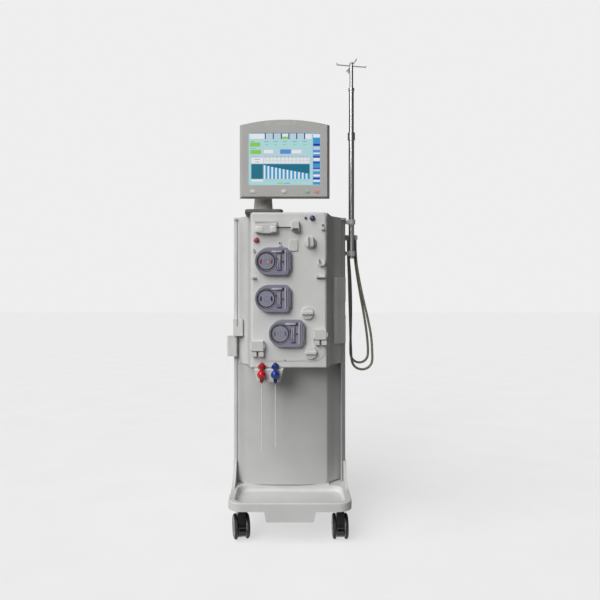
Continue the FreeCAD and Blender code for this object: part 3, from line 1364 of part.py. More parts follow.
def make_monitor_neck():
    """Oval neck that turns on the foot's pin, an arm behind the monitor and the tilt barrel."""
    low = FOOT_TOP + SEAT_GAP
    column = Part.makeLoft([
        ellipse_wire(NECK_X, NECK_Y, low, NECK_WIDTH / 2 + 2, NECK_DEPTH / 2 + 2),
        ellipse_wire(NECK_X, NECK_Y, low + 44, NECK_WIDTH / 2 - 1, NECK_DEPTH / 2 - 1),
        ellipse_wire(NECK_X, NECK_Y, TILT_Z - 30, 26, 18),
    ], True, False)
    middle = (MONITOR_LEFT + MONITOR_RIGHT) / 2
    tilt_left = Vec(middle - TILT_BARREL_HALF, TILT_Y, TILT_Z)
    tilt_right = Vec(middle + TILT_BARREL_HALF, TILT_Y, TILT_Z)
    barrel = rod(TILT_BARREL_RADIUS, tilt_left, tilt_right)
    arm_points = [
        (NECK_X - 24, TILT_Z - 50), (middle + 26, TILT_Z - 14),
        (middle + 26, TILT_Z + 14), (NECK_X - 24, TILT_Z + 4),
    ]
    arm = front_plate(arm_points, [6, 6, 6, 10], NECK_Y - 12, NECK_Y + 12)
    link = block(middle - 26, middle + 26, TILT_Y, NECK_Y, TILT_Z - 10, TILT_Z + 10)
    neck = fused(column, arm, link, barrel)
    pin_base = Vec(NECK_X, NECK_Y, low)
    pin_room = rod(SWIVEL_PIN_RADIUS + RUNNING_GAP, pin_base, pin_base + UP * SWIVEL_PIN_ROOM)
    tilt_room = rod(TILT_PIN_RADIUS + RUNNING_GAP, tilt_left, tilt_right)
    return neck.cut(pin_room).cut(tilt_room)


# Pole

def pole_point(z):
    return Vec(POLE_X, POLE_Y, z)


def make_pole_brackets():
    """Two arms with clamp rings for the pole, and the bridge block that the hoses hang from."""
    pieces = []
    for z in BRACKET_HEIGHTS:
        low = z - BRACKET_THICKNESS / 2
        high = z + BRACKET_THICKNESS / 2
        arm = block(CABINET_HALF, POLE_X, POLE_Y - 8, POLE_Y + 8, low + 3, high - 3)
        foot = block(CABINET_HALF, CABINET_HALF + 5, POLE_Y - 20, POLE_Y + 20, low, high)
        ring = rod(LOWER_TUBE_RADIUS + 5, pole_point(low), pole_point(high))
        bore = rod(LOWER_TUBE_RADIUS, pole_point(low - 1), pole_point(high + 1))
        pieces.append(fused(arm, foot, ring).cut(bore))
    y_low = HOSE_A_Y - HOSE_DIAMETER
    y_high = HOSE_B_Y + HOSE_DIAMETER
    end = POLE_X + BRIDGE_REACH
    bridge = block(CABINET_HALF, end, y_low, y_high, BRIDGE_Z, BRIDGE_Z + BRIDGE_HEIGHT)
    pieces.append(eased(bridge, BRIDGE_ROUND, 0, end))
    return together(*pieces)


def make_pole_lower_tube():
    inner = MIDDLE_TUBE_RADIUS + RUNNING_GAP
    tube = pipe(LOWER_TUBE_RADIUS, inner, pole_point(POLE_BOTTOM), pole_point(LOWER_TUBE_TOP))
    cap = rod(LOWER_TUBE_RADIUS, pole_point(POLE_BOTTOM), pole_point(POLE_BOTTOM + 6))
    collar_bottom = LOWER_TUBE_TOP - COLLAR_HEIGHT
    collar = pipe(COLLAR_RADIUS, inner, pole_point(collar_bottom), pole_point(LOWER_TUBE_TOP))
    return fused(tube, cap, collar)


def make_pole_middle_tube():
    inner = TOP_TUBE_RADIUS + RUNNING_GAP
    bottom = LOWER_TUBE_TOP - MIDDLE_TUBE_INSERT
    tube = pipe(MIDDLE_TUBE_RADIUS, inner, pole_point(bottom), pole_point(MIDDLE_TUBE_TOP))
    collar_bottom = MIDDLE_TUBE_TOP - SMALL_COLLAR_HEIGHT
    collar = pipe(SMALL_COLLAR_RADIUS, inner, pole_point(collar_bottom), pole_point(MIDDLE_TUBE_TOP))
    return fused(tube, collar)


def make_pole_top_tube():
    """Top tube with four wire hooks, a small lever and an end knob."""
    tube = rod(TOP_TUBE_RADIUS, pole_point(MIDDLE_TUBE_TOP - TOP_TUBE_INSERT), pole_point(TOP_TUBE_TOP))
    knob = Part.makeSphere(TOP_TUBE_RADIUS + 0.5, pole_point(TOP_TUBE_TOP + 2))
    lever_top = TOP_TUBE_TOP - POLE_LEVER_DROP
    lever = block(
        POLE_X - TOP_TUBE_RADIUS - 6, POLE_X - TOP_TUBE_RADIUS + 3, POLE_Y - 3, POLE_Y + 3,
        lever_top - POLE_LEVER, lever_top,
    )
    pieces = [tube, knob, lever]
    for index in range(4):
        angle = math.radians(HOOK_YAW + 90 * index)
        out = Vec(math.cos(angle), math.sin(angle), 0)
        root = pole_point(TOP_TUBE_TOP - 8)
        bend = root + out * HOOK_REACH
        tip = bend + UP * HOOK_TIP
        pieces.append(rod(HOOK_WIRE, root, bend))
        pieces.append(Part.makeSphere(HOOK_WIRE, bend))
        pieces.append(rod(HOOK_WIRE, bend, tip))
    return fused(*pieces)


# Hoses: each route runs in its own plane across Y, as steps in X from the pole and in Z from the bridge

HOSE_A_ROUTE = [
    (23, 0), (23, -75), (37, -168), (57, -265), (80, -360), (97, -445), (101, -518), (102, -566),
    (83.7, -591), (54, -600.5), (24.3, -591), (6, -566), (3, -518), (0, -440), (-2, -350), (-5, -255),
    (-7, -165), (-11, -80), (-11, 0),
]
HOSE_B_ROUTE = [
    (21, 0), (21, -80), (33, -165), (48, -255), (65, -345), (78, -432), (84, -500), (83, -541),
    (67.7, -562), (43, -570), (18.3, -562), (3, -541), (1, -500), (3, -430), (5, -340), (4, -240),
    (0, -150), (-7, -75), (-7, 0),
]


def make_hose(name, route, y):
    """A round hose along straight runs joined by tangent arcs."""
    points = [Vec(POLE_X + dx, y, BRIDGE_Z + dz) for dx, dz in route]
    edges = []
    radii = []
    last = points[0]
    for before, corner, after in zip(points, points[1:], points[2:]):
        half_turn = (corner - before).getAngle(after - corner) / 2
        shorter = min((corner - before).Length, (after - corner).Length)
        radius = 0.45 * shorter / math.tan(half_turn)
        radii.append(radius)
        start, middle, end = corner_arc(before, corner, after, radius)
        edges.append(Part.LineSegment(last, start).toShape())
        edges.append(Part.Arc(start, middle, end).toShape())
        last = end
    edges.append(Part.LineSegment(last, points[-1]).toShape())
    path = Part.Wire(edges)
    section = Part.Wire([Part.Circle(points[0], points[1] - points[0], HOSE_DIAMETER / 2).toShape()])
    tube = path.makePipeShell([section], True, False)
    length = path.Length
    share = tube.Volume / (math.pi * HOSE_DIAMETER ** 2 / 4 * length)
    print(name, "length", round(length), "volume share", round(share, 4), "radius", round(min(radii), 1))
    return tube


def main():
    os.makedirs("parts", exist_ok=True)
    write("base_tray", make_base_tray())
    write("chassis_frame", make_chassis_frame())
    corner_names = ("front_left", "front_right", "rear_left", "rear_right")
    fork = make_caster_fork()
    wheels = make_caster_wheels()
    pedal = make_brake_pedal()
    for name, (x, y) in zip(corner_names, caster_places()):
        yaw = FRONT_LEFT_YAW if name == "front_left" else 0
        write("caster_fork_" + name, place_caster(fork, x, y, yaw))
        write("caster_wheels_" + name, place_caster(wheels, x, y, yaw))
        if name.startswith("front"):
            write("brake_pedal_" + name, place_caster(pedal, x, y, yaw))
    write("left_side_cover", make_left_side_cover())
    write("right_side_cover", make_right_side_cover())
    write("rear_cover", make_rear_cover())
    write("top_cover", make_top_cover())
    write("lower_front_cover", make_lower_front_cover())
    write("module_surround", make_module_surround())
    write("front_module_shell", make_front_module_shell())
    write("push_handle", make_push_handle())
    write("hydraulic_unit", make_hydraulic_unit())
    write("electronics_unit", make_electronics_unit())
    write("pump_motors", make_pump_motors())
    for number, (x, z) in enumerate(PUMP_CENTRES, 1):
        write("pump_housing_%d" % number, make_pump_housing(x, z))
        write("pump_cover_%d" % number, make_pump_cover(x, z))
        write("pump_rotor_%d" % number, make_pump_rotor(x, z))
    write("syringe_holder", make_syringe_holder())
    write("syringe_drive", make_syringe_drive())
    write("front_fittings", make_front_fittings())
    write("air_detector", make_air_detector())
    for name, (x, z) in zip(("upper", "lower"), KNOB_CENTRES):
        write("port_knob_" + name, make_port_knob(x, z))
    write("line_clamp_bodies", together(make_clamp_body(0), make_clamp_body(1)))
    write("line_clamp_cover_left", make_clamp_cover(0))
    write("line_clamp_cover_right", make_clamp_cover(1))
    write("wand_holder", make_wand_holder())
    write("wand_red", make_wand(WAND_XS[0], WAND_ROD_BOTTOMS[0]))
    write("wand_blue", make_wand(WAND_XS[1], WAND_ROD_BOTTOMS[1]))
    write("side_holder", make_side_holder())
    write("monitor_foot", make_monitor_foot())
    write("monitor_neck", make_monitor_neck())
    write("monitor_case", make_monitor_case())
    write("monitor_screen", make_monitor_screen())
    write("alarm_light", make_alarm_light())
    for number, x in enumerate(KEY_XS, 1):
        write("monitor_key_%d" % number, make_monitor_key(x))
    write("pole_brackets", make_pole_brackets())
    write("pole_lower_tube", make_pole_lower_tube())
    write("pole_middle_tube", make_pole_middle_tube())
    write("pole_top_tube", make_pole_top_tube())
    write("hose_a", make_hose("hose_a", HOSE_A_ROUTE, HOSE_A_Y))
    write("hose_b", make_hose("hose_b", HOSE_B_ROUTE, HOSE_B_Y))


main()
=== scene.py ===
import json
import math

import bpy
from mathutils import Matrix, Vector

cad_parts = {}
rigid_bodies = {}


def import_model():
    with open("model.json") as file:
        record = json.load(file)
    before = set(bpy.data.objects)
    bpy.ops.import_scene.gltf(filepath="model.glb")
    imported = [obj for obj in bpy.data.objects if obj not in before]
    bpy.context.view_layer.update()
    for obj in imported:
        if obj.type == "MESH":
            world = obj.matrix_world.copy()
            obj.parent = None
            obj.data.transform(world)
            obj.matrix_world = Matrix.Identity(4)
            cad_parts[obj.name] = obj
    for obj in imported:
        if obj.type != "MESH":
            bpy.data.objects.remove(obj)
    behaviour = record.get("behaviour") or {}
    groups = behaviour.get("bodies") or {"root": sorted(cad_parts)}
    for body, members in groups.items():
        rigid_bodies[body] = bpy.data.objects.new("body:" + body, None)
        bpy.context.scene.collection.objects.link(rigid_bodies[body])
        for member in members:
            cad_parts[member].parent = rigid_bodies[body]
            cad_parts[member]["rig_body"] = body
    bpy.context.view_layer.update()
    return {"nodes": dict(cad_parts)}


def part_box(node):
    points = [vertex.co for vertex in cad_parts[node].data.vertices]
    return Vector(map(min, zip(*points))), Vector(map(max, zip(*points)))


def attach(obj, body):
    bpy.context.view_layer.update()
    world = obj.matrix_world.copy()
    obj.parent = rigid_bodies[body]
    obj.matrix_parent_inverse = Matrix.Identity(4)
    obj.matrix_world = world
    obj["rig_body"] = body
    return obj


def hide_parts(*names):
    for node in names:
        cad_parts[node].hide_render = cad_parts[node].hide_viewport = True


# Looks of a three-pump dialysis machine. Metres, in the part's frame: the origin is on
# the floor under the middle of the base, +X is to the right of someone who faces the
# front, +Y is to the back and +Z is up.

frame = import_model()
NODES = frame["nodes"]
MM = 0.001

# Camera, light and floor
CAMERA_PLACE = (0.0, -2.574, 0.986)
CAMERA_LENS = 34.38
CAMERA_SENSOR = 36
CAMERA_SHIFT = (0.0167, -0.0083)
BACKDROP_TONE = 0.86
FLOOR_GLOW = 0.61
ROOM_TONE = 0.07
KEY_FROM = (-0.38, -0.85, 0.37)
KEY_STRENGTH = 1.0
KEY_SPREAD = 26
HIGH_FROM = (-0.50, -0.46, 0.73)
HIGH_STRENGTH = 2.3
HIGH_SPREAD = 56
LIGHT_DISTANCE = 4.0
FLOOR_SIZE = 60.0
FLOOR_TONES = ((0.28, 0.28, 0.28, 1), (0.30, 0.30, 0.30, 1))

# Front module
PANEL_FRONT_Y = -0.2350
DOOR_FRONT_Y = -0.2375
PUMP_CENTRES = ((-0.096, 1.122), (-0.096, 0.971), (-0.040, 0.829))

# Where a finish ends on the wands and on the syringe drive
WAND_ROD_TOP = 0.625
WAND_LOCK_BOTTOM = 0.684
DRIVE_ROD_END = 0.0035

# Monitor
SCREEN_LEFT = -0.168
SCREEN_BOTTOM = 1.433
SCREEN_FRONT_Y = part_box("monitor_screen")[0].y
TILE_THICKNESS = 0.0004

# Hoses
HOSE_DIAMETER = 0.011
HOSE_A_Y = 0.080
HOSE_B_Y = 0.097
HOSE_A_ROUTE = (
    (0.303, 1.240), (0.303, 1.165), (0.317, 1.072), (0.337, 0.975), (0.360, 0.880),
    (0.377, 0.795), (0.381, 0.722), (0.382, 0.674), (0.3637, 0.649), (0.334, 0.6395),
    (0.3043, 0.649), (0.286, 0.674), (0.283, 0.722), (0.280, 0.800), (0.278, 0.890),
    (0.275, 0.985), (0.273, 1.075), (0.269, 1.160), (0.269, 1.240),
)
HOSE_B_ROUTE = (
    (0.301, 1.240), (0.301, 1.160), (0.313, 1.075), (0.328, 0.985), (0.345, 0.895),
    (0.358, 0.808), (0.364, 0.740), (0.363, 0.699), (0.3477, 0.678), (0.323, 0.670),
    (0.2983, 0.678), (0.283, 0.699), (0.281, 0.740), (0.283, 0.810), (0.285, 0.900),
    (0.284, 1.000), (0.280, 1.090), (0.273, 1.165), (0.273, 1.240),
)


def tone(red, green, blue):
    """A display colour, each part 0 to 255, as the linear colour that a shader takes."""
    linear = []
    for value in (red, green, blue):
        share = value / 255
        linear.append(share / 12.92 if share < 0.04045 else ((share + 0.055) / 1.055) ** 2.4)
    return (*linear, 1.0)


def make_camera():
    """A level camera in front of the machine."""
    data = bpy.data.cameras.new("front_camera")
    data.lens = CAMERA_LENS
    data.sensor_width = CAMERA_SENSOR
    data.shift_x, data.shift_y = CAMERA_SHIFT
    camera = bpy.data.objects.new("front_camera", data)
    camera.location = CAMERA_PLACE
    camera.rotation_euler = (math.radians(90), 0, 0)
    bpy.context.scene.collection.objects.link(camera)
    bpy.context.scene.camera = camera


def make_hose(name, route, depth, node, finish):
    """A limp hose on the route that its solid has, as a round-bevelled NURBS curve."""
    data = bpy.data.curves.new(name, "CURVE")
    data.dimensions = "3D"
    data.resolution_u = 8
    data.bevel_depth = HOSE_DIAMETER / 2
    data.bevel_resolution = 5
    data.use_fill_caps = True
    spline = data.splines.new("NURBS")
    spline.points.add(len(route) - 1)
    for point, (x, z) in zip(spline.points, route):
        point.co = (x, depth, z, 1)
    spline.order_u = 3
    spline.use_endpoint_u = True
    hose = bpy.data.objects.new(name, data)
    bpy.context.scene.collection.objects.link(hose)
    data.materials.append(finish)
    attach(hose, "cabinet")
    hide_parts(node)
    x, z = route[0]


# Finishes

def shaded(colour, share):
    """A colour made darker, or lighter, by a share."""
    return (*(part * share for part in colour[:3]), 1.0)


def start_finish(name):
    """A new material with its tree, its shader and the piece's own coordinates."""
    material = bpy.data.materials.new(name)
    material.use_nodes = True
    tree = material.node_tree
    place = tree.nodes.new("ShaderNodeTexCoord").outputs["Object"]
    return material, tree, tree.nodes["Principled BSDF"], place


def stretched(tree, place, sizes):
    """The coordinates stretched by a size along each axis."""
    mapping = tree.nodes.new("ShaderNodeMapping")
    mapping.inputs["Scale"].default_value = sizes
    tree.links.new(place, mapping.inputs["Vector"])
    return mapping.outputs["Vector"]


def speckle(tree, place, scale, detail=2.0):
    """Soft noise from 0 to 1."""
    noise = tree.nodes.new("ShaderNodeTexNoise")
    noise.inputs["Scale"].default_value = scale
    noise.inputs["Detail"].default_value = detail
    tree.links.new(place, noise.inputs["Vector"])
    return noise.outputs["Fac"]


def between(tree, source, low, high, start=0.3, stop=0.7):
    """The source's start to stop turned into low to high."""
    ranged = tree.nodes.new("ShaderNodeMapRange")
    for socket, value in (("From Min", start), ("From Max", stop), ("To Min", low), ("To Max", high)):
        ranged.inputs[socket].default_value = value
    tree.links.new(source, ranged.inputs["Value"])
    return ranged.outputs["Result"]


def two_tones(tree, source, first, second, start=0.35, stop=0.65):
    """A colour that goes from first to second as the source goes from start to stop."""
    ramp = tree.nodes.new("ShaderNodeValToRGB")
    ramp.color_ramp.elements[0].position = start
    ramp.color_ramp.elements[0].color = first
    ramp.color_ramp.elements[1].position = stop
    ramp.color_ramp.elements[1].color = second
    tree.links.new(source, ramp.inputs["Fac"])
    return ramp.outputs["Color"]


def blended(tree, share, first, second):
    """Two colour outputs blended by a share."""
    mix = tree.nodes.new("ShaderNodeMix")
    mix.data_type = "RGBA"
    tree.links.new(share, mix.inputs["Factor"])
    for socket, colour in (("A", first), ("B", second)):
        target = [s for s in mix.inputs if s.name == socket and s.type == "RGBA"][0]
        if isinstance(colour, tuple):
            target.default_value = colour
        else:
            tree.links.new(colour, target)
    return [s for s in mix.outputs if s.type == "RGBA"][0]


def height_of(tree, place):
    """The height above the floor, in metres."""
    split = tree.nodes.new("ShaderNodeSeparateXYZ")
    tree.links.new(place, split.inputs["Vector"])
    return split.outputs["Z"]


def relief(tree, shader, source, strength, distance):
    """Fine relief on the shader's normal."""
    bump = tree.nodes.new("ShaderNodeBump")
    bump.inputs["Strength"].default_value = strength
    bump.inputs["Distance"].default_value = distance
    tree.links.new(source, bump.inputs["Height"])
    tree.links.new(bump.outputs["Normal"], shader.inputs["Normal"])


def moulded(name, colour, roughness=0.45, shift=0.94, grain=1500.0, coat=0.0, scuffs=0.0):
    """Moulded plastic: cloudy tone, uneven gloss and an eroded grain, scuffed near the floor."""
    material, tree, shader, place = start_finish(name)
    dim = shaded(colour, shift)
    cloud = two_tones(tree, speckle(tree, place, 9.0, 4.0), dim, colour)
    if scuffs > 0:
        dirt = speckle(tree, stretched(tree, place, (1, 1, 4)), 60.0, 6.0)
        low_down = between(tree, height_of(tree, place), scuffs, 0.0, 0.10, 0.32)
        streak = tree.nodes.new("ShaderNodeMath")
        streak.operation = "MULTIPLY"
        tree.links.new(between(tree, dirt, 0.0, 1.0, 0.52, 0.66), streak.inputs[0])
        tree.links.new(low_down, streak.inputs[1])
        dark = shaded(colour, 0.45)
        cloud = blended(tree, streak.outputs[0], cloud, dark)
    tree.links.new(cloud, shader.inputs["Base Color"])
    gloss = between(tree, speckle(tree, place, 55.0, 3.0), roughness - 0.05, roughness + 0.07)
    tree.links.new(gloss, shader.inputs["Roughness"])
    relief(tree, shader, speckle(tree, place, grain, 1.0), 0.12, 0.0004)
    if coat:
        shader.inputs["Coat Weight"].default_value = coat
        shader.inputs["Coat Roughness"].default_value = 0.12
    return material


def metal(name, colour, roughness, stretch, marks=0.10):
    """Drawn or brushed metal, its fine lines along the stretched axis."""
    material, tree, shader, place = start_finish(name)
    shader.inputs["Metallic"].default_value = 1.0
    lines = speckle(tree, stretched(tree, place, stretch), 30.0, 4.0)
    dim = shaded(colour, 0.82)
    tree.links.new(two_tones(tree, lines, dim, colour), shader.inputs["Base Color"])
    gloss = between(tree, lines, roughness - marks / 2, roughness + marks)
    tree.links.new(gloss, shader.inputs["Roughness"])
    relief(tree, shader, lines, 0.08, 0.0002)
    return material


def painted_steel(name, colour):
    """Powder-coated steel with an orange-peel surface."""
    material, tree, shader, place = start_finish(name)
    dim = shaded(colour, 0.88)
    peel = speckle(tree, place, 420.0, 2.0)
    tree.links.new(two_tones(tree, speckle(tree, place, 14.0, 3.0), dim, colour), shader.inputs["Base Color"])
    tree.links.new(between(tree, peel, 0.38, 0.52), shader.inputs["Roughness"])
    relief(tree, shader, peel, 0.2, 0.0005)
    return material


def rubber(name, colour, roughness=0.6):
    """Matt rubber with dust in its pores."""
    material, tree, shader, place = start_finish(name)
    dust = speckle(tree, place, 130.0, 5.0)
    pale = tuple(min(1.0, part * 1.9 + 0.01) for part in colour[:3]) + (1.0,)
    tree.links.new(two_tones(tree, dust, colour, pale, 0.5, 0.75), shader.inputs["Base Color"])
    tree.links.new(between(tree, dust, roughness - 0.08, roughness + 0.15), shader.inputs["Roughness"])
    relief(tree, shader, speckle(tree, place, 900.0, 2.0), 0.2, 0.0003)
    return material


def lit_pixels(name, colour, strength=0.75):
    """A lit screen colour with the display's fine rows."""
    material, tree, shader, place = start_finish(name)
    rows = tree.nodes.new("ShaderNodeTexWave")
    rows.bands_direction = "Z"
    rows.inputs["Scale"].default_value = 320.0
    tree.links.new(place, rows.inputs["Vector"])
    dim = shaded(colour, 0.86)
    shade = two_tones(tree, rows.outputs["Fac"], dim, colour, 0.2, 0.6)
    shader.inputs["Base Color"].default_value = shaded(colour, 0.25)
    tree.links.new(shade, shader.inputs["Emission Color"])
    shader.inputs["Emission Strength"].default_value = strength
    shader.inputs["Roughness"].default_value = 0.22
    return material


def wand_finish(name, colour, rod_top, lock_bottom):
    """A glossy connector whose lock on top is painted darker as shade, and whose rod below is clear, frosted
    plastic.
    """
    material, tree, shader, place = start_finish(name)
    height = height_of(tree, place)
    is_cap = between(tree, height, 0.0, 1.0, rod_top, rod_top + 0.001)
    # The lock on top takes a darker red as painted shade.
    is_shaded_lock = between(tree, height, 0.0, 1.0, lock_bottom, lock_bottom + 0.001)
    dim = shaded(colour, 0.8)
    lock_shade = shaded(colour, 0.55)
    cap = blended(tree, is_shaded_lock, two_tones(tree, speckle(tree, place, 90.0, 3.0), dim, colour), lock_shade)
    frost = two_tones(tree, speckle(tree, place, 300.0, 2.0), tone(214, 213, 206), tone(244, 243, 238))
    tree.links.new(blended(tree, is_cap, frost, cap), shader.inputs["Base Color"])
    tree.links.new(between(tree, is_cap, 0.42, 0.24, 0.0, 1.0), shader.inputs["Roughness"])
    relief(tree, shader, speckle(tree, place, 700.0, 2.0), 0.06, 0.0003)
    return material


def drive_finish(name, colour, rod_colour, rod_end):
    """Moulded plastic to the right of rod_end, a dark drawn rod to its left."""
    material, tree, shader, place = start_finish(name)
    split = tree.nodes.new("ShaderNodeSeparateXYZ")
    tree.links.new(place, split.inputs["Vector"])
    is_carriage = between(tree, split.outputs["X"], 0.0, 1.0, rod_end, rod_end + 0.0005)
    lines = speckle(tree, stretched(tree, place, (1, 40, 40)), 30.0, 3.0)
    rod = two_tones(tree, lines, shaded(rod_colour, 0.7), rod_colour)
    plain = two_tones(tree, speckle(tree, place, 9.0, 4.0), shaded(colour, 0.95), colour)
    shade = blended(tree, is_carriage, rod, plain)
    tree.links.new(shade, shader.inputs["Base Color"])
    tree.links.new(between(tree, lines, 0.30, 0.42), shader.inputs["Roughness"])
    return material


HOUSING_GREY = moulded("housing_grey", tone(213, 213, 211), 0.48, scuffs=0.06)
# The lower cover's grey is the housing grey made darker as painted shade under the module's overhang.
LOWER_GREY_SHADED = moulded("lower_grey_shaded", tone(196, 196, 194), 0.48, scuffs=0.06)
PANEL_GREY = moulded("panel_grey", tone(222, 222, 220), 0.36, 0.96, coat=0.15)
FITTING_GREY = moulded("fitting_grey", tone(216, 216, 214), 0.34, 0.95, coat=0.2)
PUMP_LAVENDER = moulded("pump_lavender", tone(140, 138, 156), 0.36, 0.92, coat=0.25)
ROTOR_GREY = moulded("rotor_grey", tone(150, 150, 166), 0.32, 0.9, coat=0.2)
MONITOR_GREY = moulded("monitor_grey", tone(192, 191, 188), 0.46, 0.95)
NECK_GREY = moulded("neck_grey", tone(214, 213, 206), 0.46, 0.92)
FOOT_GREY = moulded("foot_grey", tone(112, 111, 106), 0.42, 0.9)
# A grey darker than the cradle, used as painted shade on the cradle's top band.
BAND_SHADE_GREY = moulded("band_shade_grey", tone(180, 180, 178), 0.36, 0.94, coat=0.2)
DISC_GREY = moulded("disc_grey", tone(214, 214, 212), 0.32, 0.92, coat=0.2)
# Dark rubber, also used as painted shadow in the clips and under the monitor foot.
DARK_RUBBER_AND_SHADE = rubber("dark_rubber_and_shade", tone(74, 74, 74), 0.5)
DRIVE_GREY = drive_finish("drive_grey", tone(216, 216, 214), tone(64, 64, 64), DRIVE_ROD_END)
ALARM_LENS = moulded("alarm_lens", tone(200, 200, 196), 0.26, 0.985, coat=0.3)
# Key white, also used for painted highlights on the syringe cradle.
KEY_WHITE_AND_HIGHLIGHT = moulded("key_white", tone(232, 230, 226), 0.3, 0.96, coat=0.2)
KEY_GREEN = moulded("key_green", tone(178, 205, 180), 0.3, 0.94, coat=0.2)
KEY_PINK = moulded("key_pink", tone(235, 168, 160), 0.3, 0.94, coat=0.2)
POLE_STEEL = metal("pole_steel", (0.50, 0.50, 0.50, 1.0), 0.30, (14.0, 14.0, 0.3))
FRAME_PAINT = painted_steel("frame_paint", tone(140, 142, 144))
CASTER_BLACK = moulded("caster_black", tone(20, 20, 21), 0.26, 0.7, coat=0.3)
TYRE_BLACK = rubber("tyre_black", tone(15, 15, 16), 0.5)
HOSE_RUBBER = rubber("hose_rubber", tone(122, 122, 108), 0.46)
SCREEN_GROUND = lit_pixels("screen_ground", tone(178, 222, 226))
LIT_WHITE = lit_pixels("lit_white", tone(236, 240, 242))
LIT_MIST = lit_pixels("lit_mist", tone(196, 214, 226))
LIT_NAVY = lit_pixels("lit_navy", tone(18, 62, 152))
LIT_BLUE = lit_pixels("lit_blue", tone(92, 148, 214))
LIT_GREEN = lit_pixels("lit_green", tone(142, 206, 82))
LIT_TEAL = lit_pixels("lit_teal", tone(34, 116, 140))
LIT_INK = lit_pixels("lit_ink", tone(70, 92, 108))
LIT_SKY = lit_pixels("lit_sky", tone(56, 160, 218))
RED_WAND = wand_finish("red_wand", tone(214, 0, 18), WAND_ROD_TOP, WAND_LOCK_BOTTOM)
BLUE_WAND = wand_finish("blue_wand", tone(6, 58, 156), WAND_ROD_TOP, WAND_LOCK_BOTTOM)
RED_MARK = moulded("red_mark", tone(170, 22, 48), 0.3, 0.75, coat=0.3)
BLUE_MARK = moulded("blue_mark", tone(34, 40, 130), 0.3, 0.75, coat=0.2)
GREY_MARK = moulded("grey_mark", tone(112, 114, 140), 0.34, 0.85, coat=0.2)
RED_PORT = moulded("red_port", tone(176, 34, 42), 0.28, 0.8, coat=0.4)
BLUE_PORT = moulded("blue_port", tone(30, 48, 108), 0.28, 0.8, coat=0.4)
# A lavender lighter than the cover's, standing partly for painted highlights on the pull rim and the slot
# edges.
TRIM_LAVENDER_AND_HIGHLIGHT = moulded("trim_lavender_and_highlight", tone(196, 195, 207), 0.3, 0.94, coat=0.3)
# Dark plastic, also used as painted shadow in the pump cover's slots.
LATCH_DARK_AND_SHADE = moulded("latch_dark_and_shade", tone(52, 52, 58), 0.36, 0.85, coat=0.1)
SCREW_DARK = metal("screw_dark", (0.16, 0.16, 0.16, 1.0), 0.4, (1, 40, 1))
# Dark for the race, partly its own colour and partly painted shade in the deep race.
RACE_DARK_AND_SHADE = rubber("race_dark_and_shade", tone(78, 78, 82), 0.42)
RIM_GREY = moulded("rim_grey", tone(104, 104, 114), 0.34, 0.85, coat=0.2)

NODE_FINISHES = {
    HOUSING_GREY: (
        "base_tray", "left_side_cover", "rear_cover", "top_cover", "module_surround",
        "push_handle", "side_holder",
    ),
    PANEL_GREY: ("front_module_shell",),
    FITTING_GREY: (
        "front_fittings", "air_detector", "syringe_holder", "wand_holder",
        "line_clamp_bodies", "line_clamp_cover_left", "line_clamp_cover_right",
        "port_knob_upper", "port_knob_lower", "pole_brackets",
    ),
    PUMP_LAVENDER: (
        "pump_housing_1", "pump_housing_2", "pump_housing_3",
        "pump_cover_1", "pump_cover_2", "pump_cover_3",
    ),
    ROTOR_GREY: ("pump_rotor_1", "pump_rotor_2", "pump_rotor_3"),
    MONITOR_GREY: ("monitor_case",),
    NECK_GREY: ("monitor_neck",),
    FOOT_GREY: ("monitor_foot",),
    DRIVE_GREY: ("syringe_drive",),
    ALARM_LENS: ("alarm_light",),
    SCREEN_GROUND: ("monitor_screen",),
    KEY_WHITE_AND_HIGHLIGHT: ("monitor_key_1", "monitor_key_2"),
    KEY_GREEN: ("monitor_key_3",),
    KEY_PINK: ("monitor_key_4",),
    POLE_STEEL: ("pole_lower_tube", "pole_middle_tube", "pole_top_tube"),
    FRAME_PAINT: ("chassis_frame", "hydraulic_unit", "electronics_unit", "pump_motors"),
    CASTER_BLACK: (
        "caster_fork_front_left", "caster_fork_front_right", "caster_fork_rear_left",
        "caster_fork_rear_right", "brake_pedal_front_left", "brake_pedal_front_right",
    ),
    TYRE_BLACK: (
        "caster_wheels_front_left", "caster_wheels_front_right",
        "caster_wheels_rear_left", "caster_wheels_rear_right",
    ),
    RED_WAND: ("wand_red",),
    BLUE_WAND: ("wand_blue",),
}


def dress_nodes():
    """Each CAD node takes its finish."""
    for finish, names in NODE_FINISHES.items():
        for name in names:
            for slot in NODES[name].material_slots:
                slot.material = finish


# Light and floor

def make_light(name, source, strength, spread):
    """A wide, far light that shines from a direction towards the machine."""
    data = bpy.data.lights.new(name, "SUN")
    data.energy = strength
    data.angle = math.radians(spread)
    light = bpy.data.objects.new(name, data)
    light.location = Vector(source) * LIGHT_DISTANCE
    light.rotation_euler = (-Vector(source)).to_track_quat("-Z", "Y").to_euler()
    bpy.context.scene.collection.objects.link(light)


def make_room():
    """A pale even room that lights the machine softly."""
    world = bpy.data.worlds.new("studio")
    bpy.context.scene.world = world
    world.use_nodes = True
    tree = world.node_tree
    tree.nodes.clear()
    seen = tree.nodes.new("ShaderNodeBackground")
    seen.inputs["Color"].default_value = (BACKDROP_TONE, BACKDROP_TONE, BACKDROP_TONE, 1)
    soft = tree.nodes.new("ShaderNodeBackground")
    soft.inputs["Color"].default_value = (ROOM_TONE, ROOM_TONE, ROOM_TONE, 1)
    path = tree.nodes.new("ShaderNodeLightPath")
    mix = tree.nodes.new("ShaderNodeMixShader")
    output = tree.nodes.new("ShaderNodeOutputWorld")
    tree.links.new(path.outputs["Is Camera Ray"], mix.inputs["Fac"])
    tree.links.new(soft.outputs[0], mix.inputs[1])
    tree.links.new(seen.outputs[0], mix.inputs[2])
    tree.links.new(mix.outputs[0], output.inputs["Surface"])


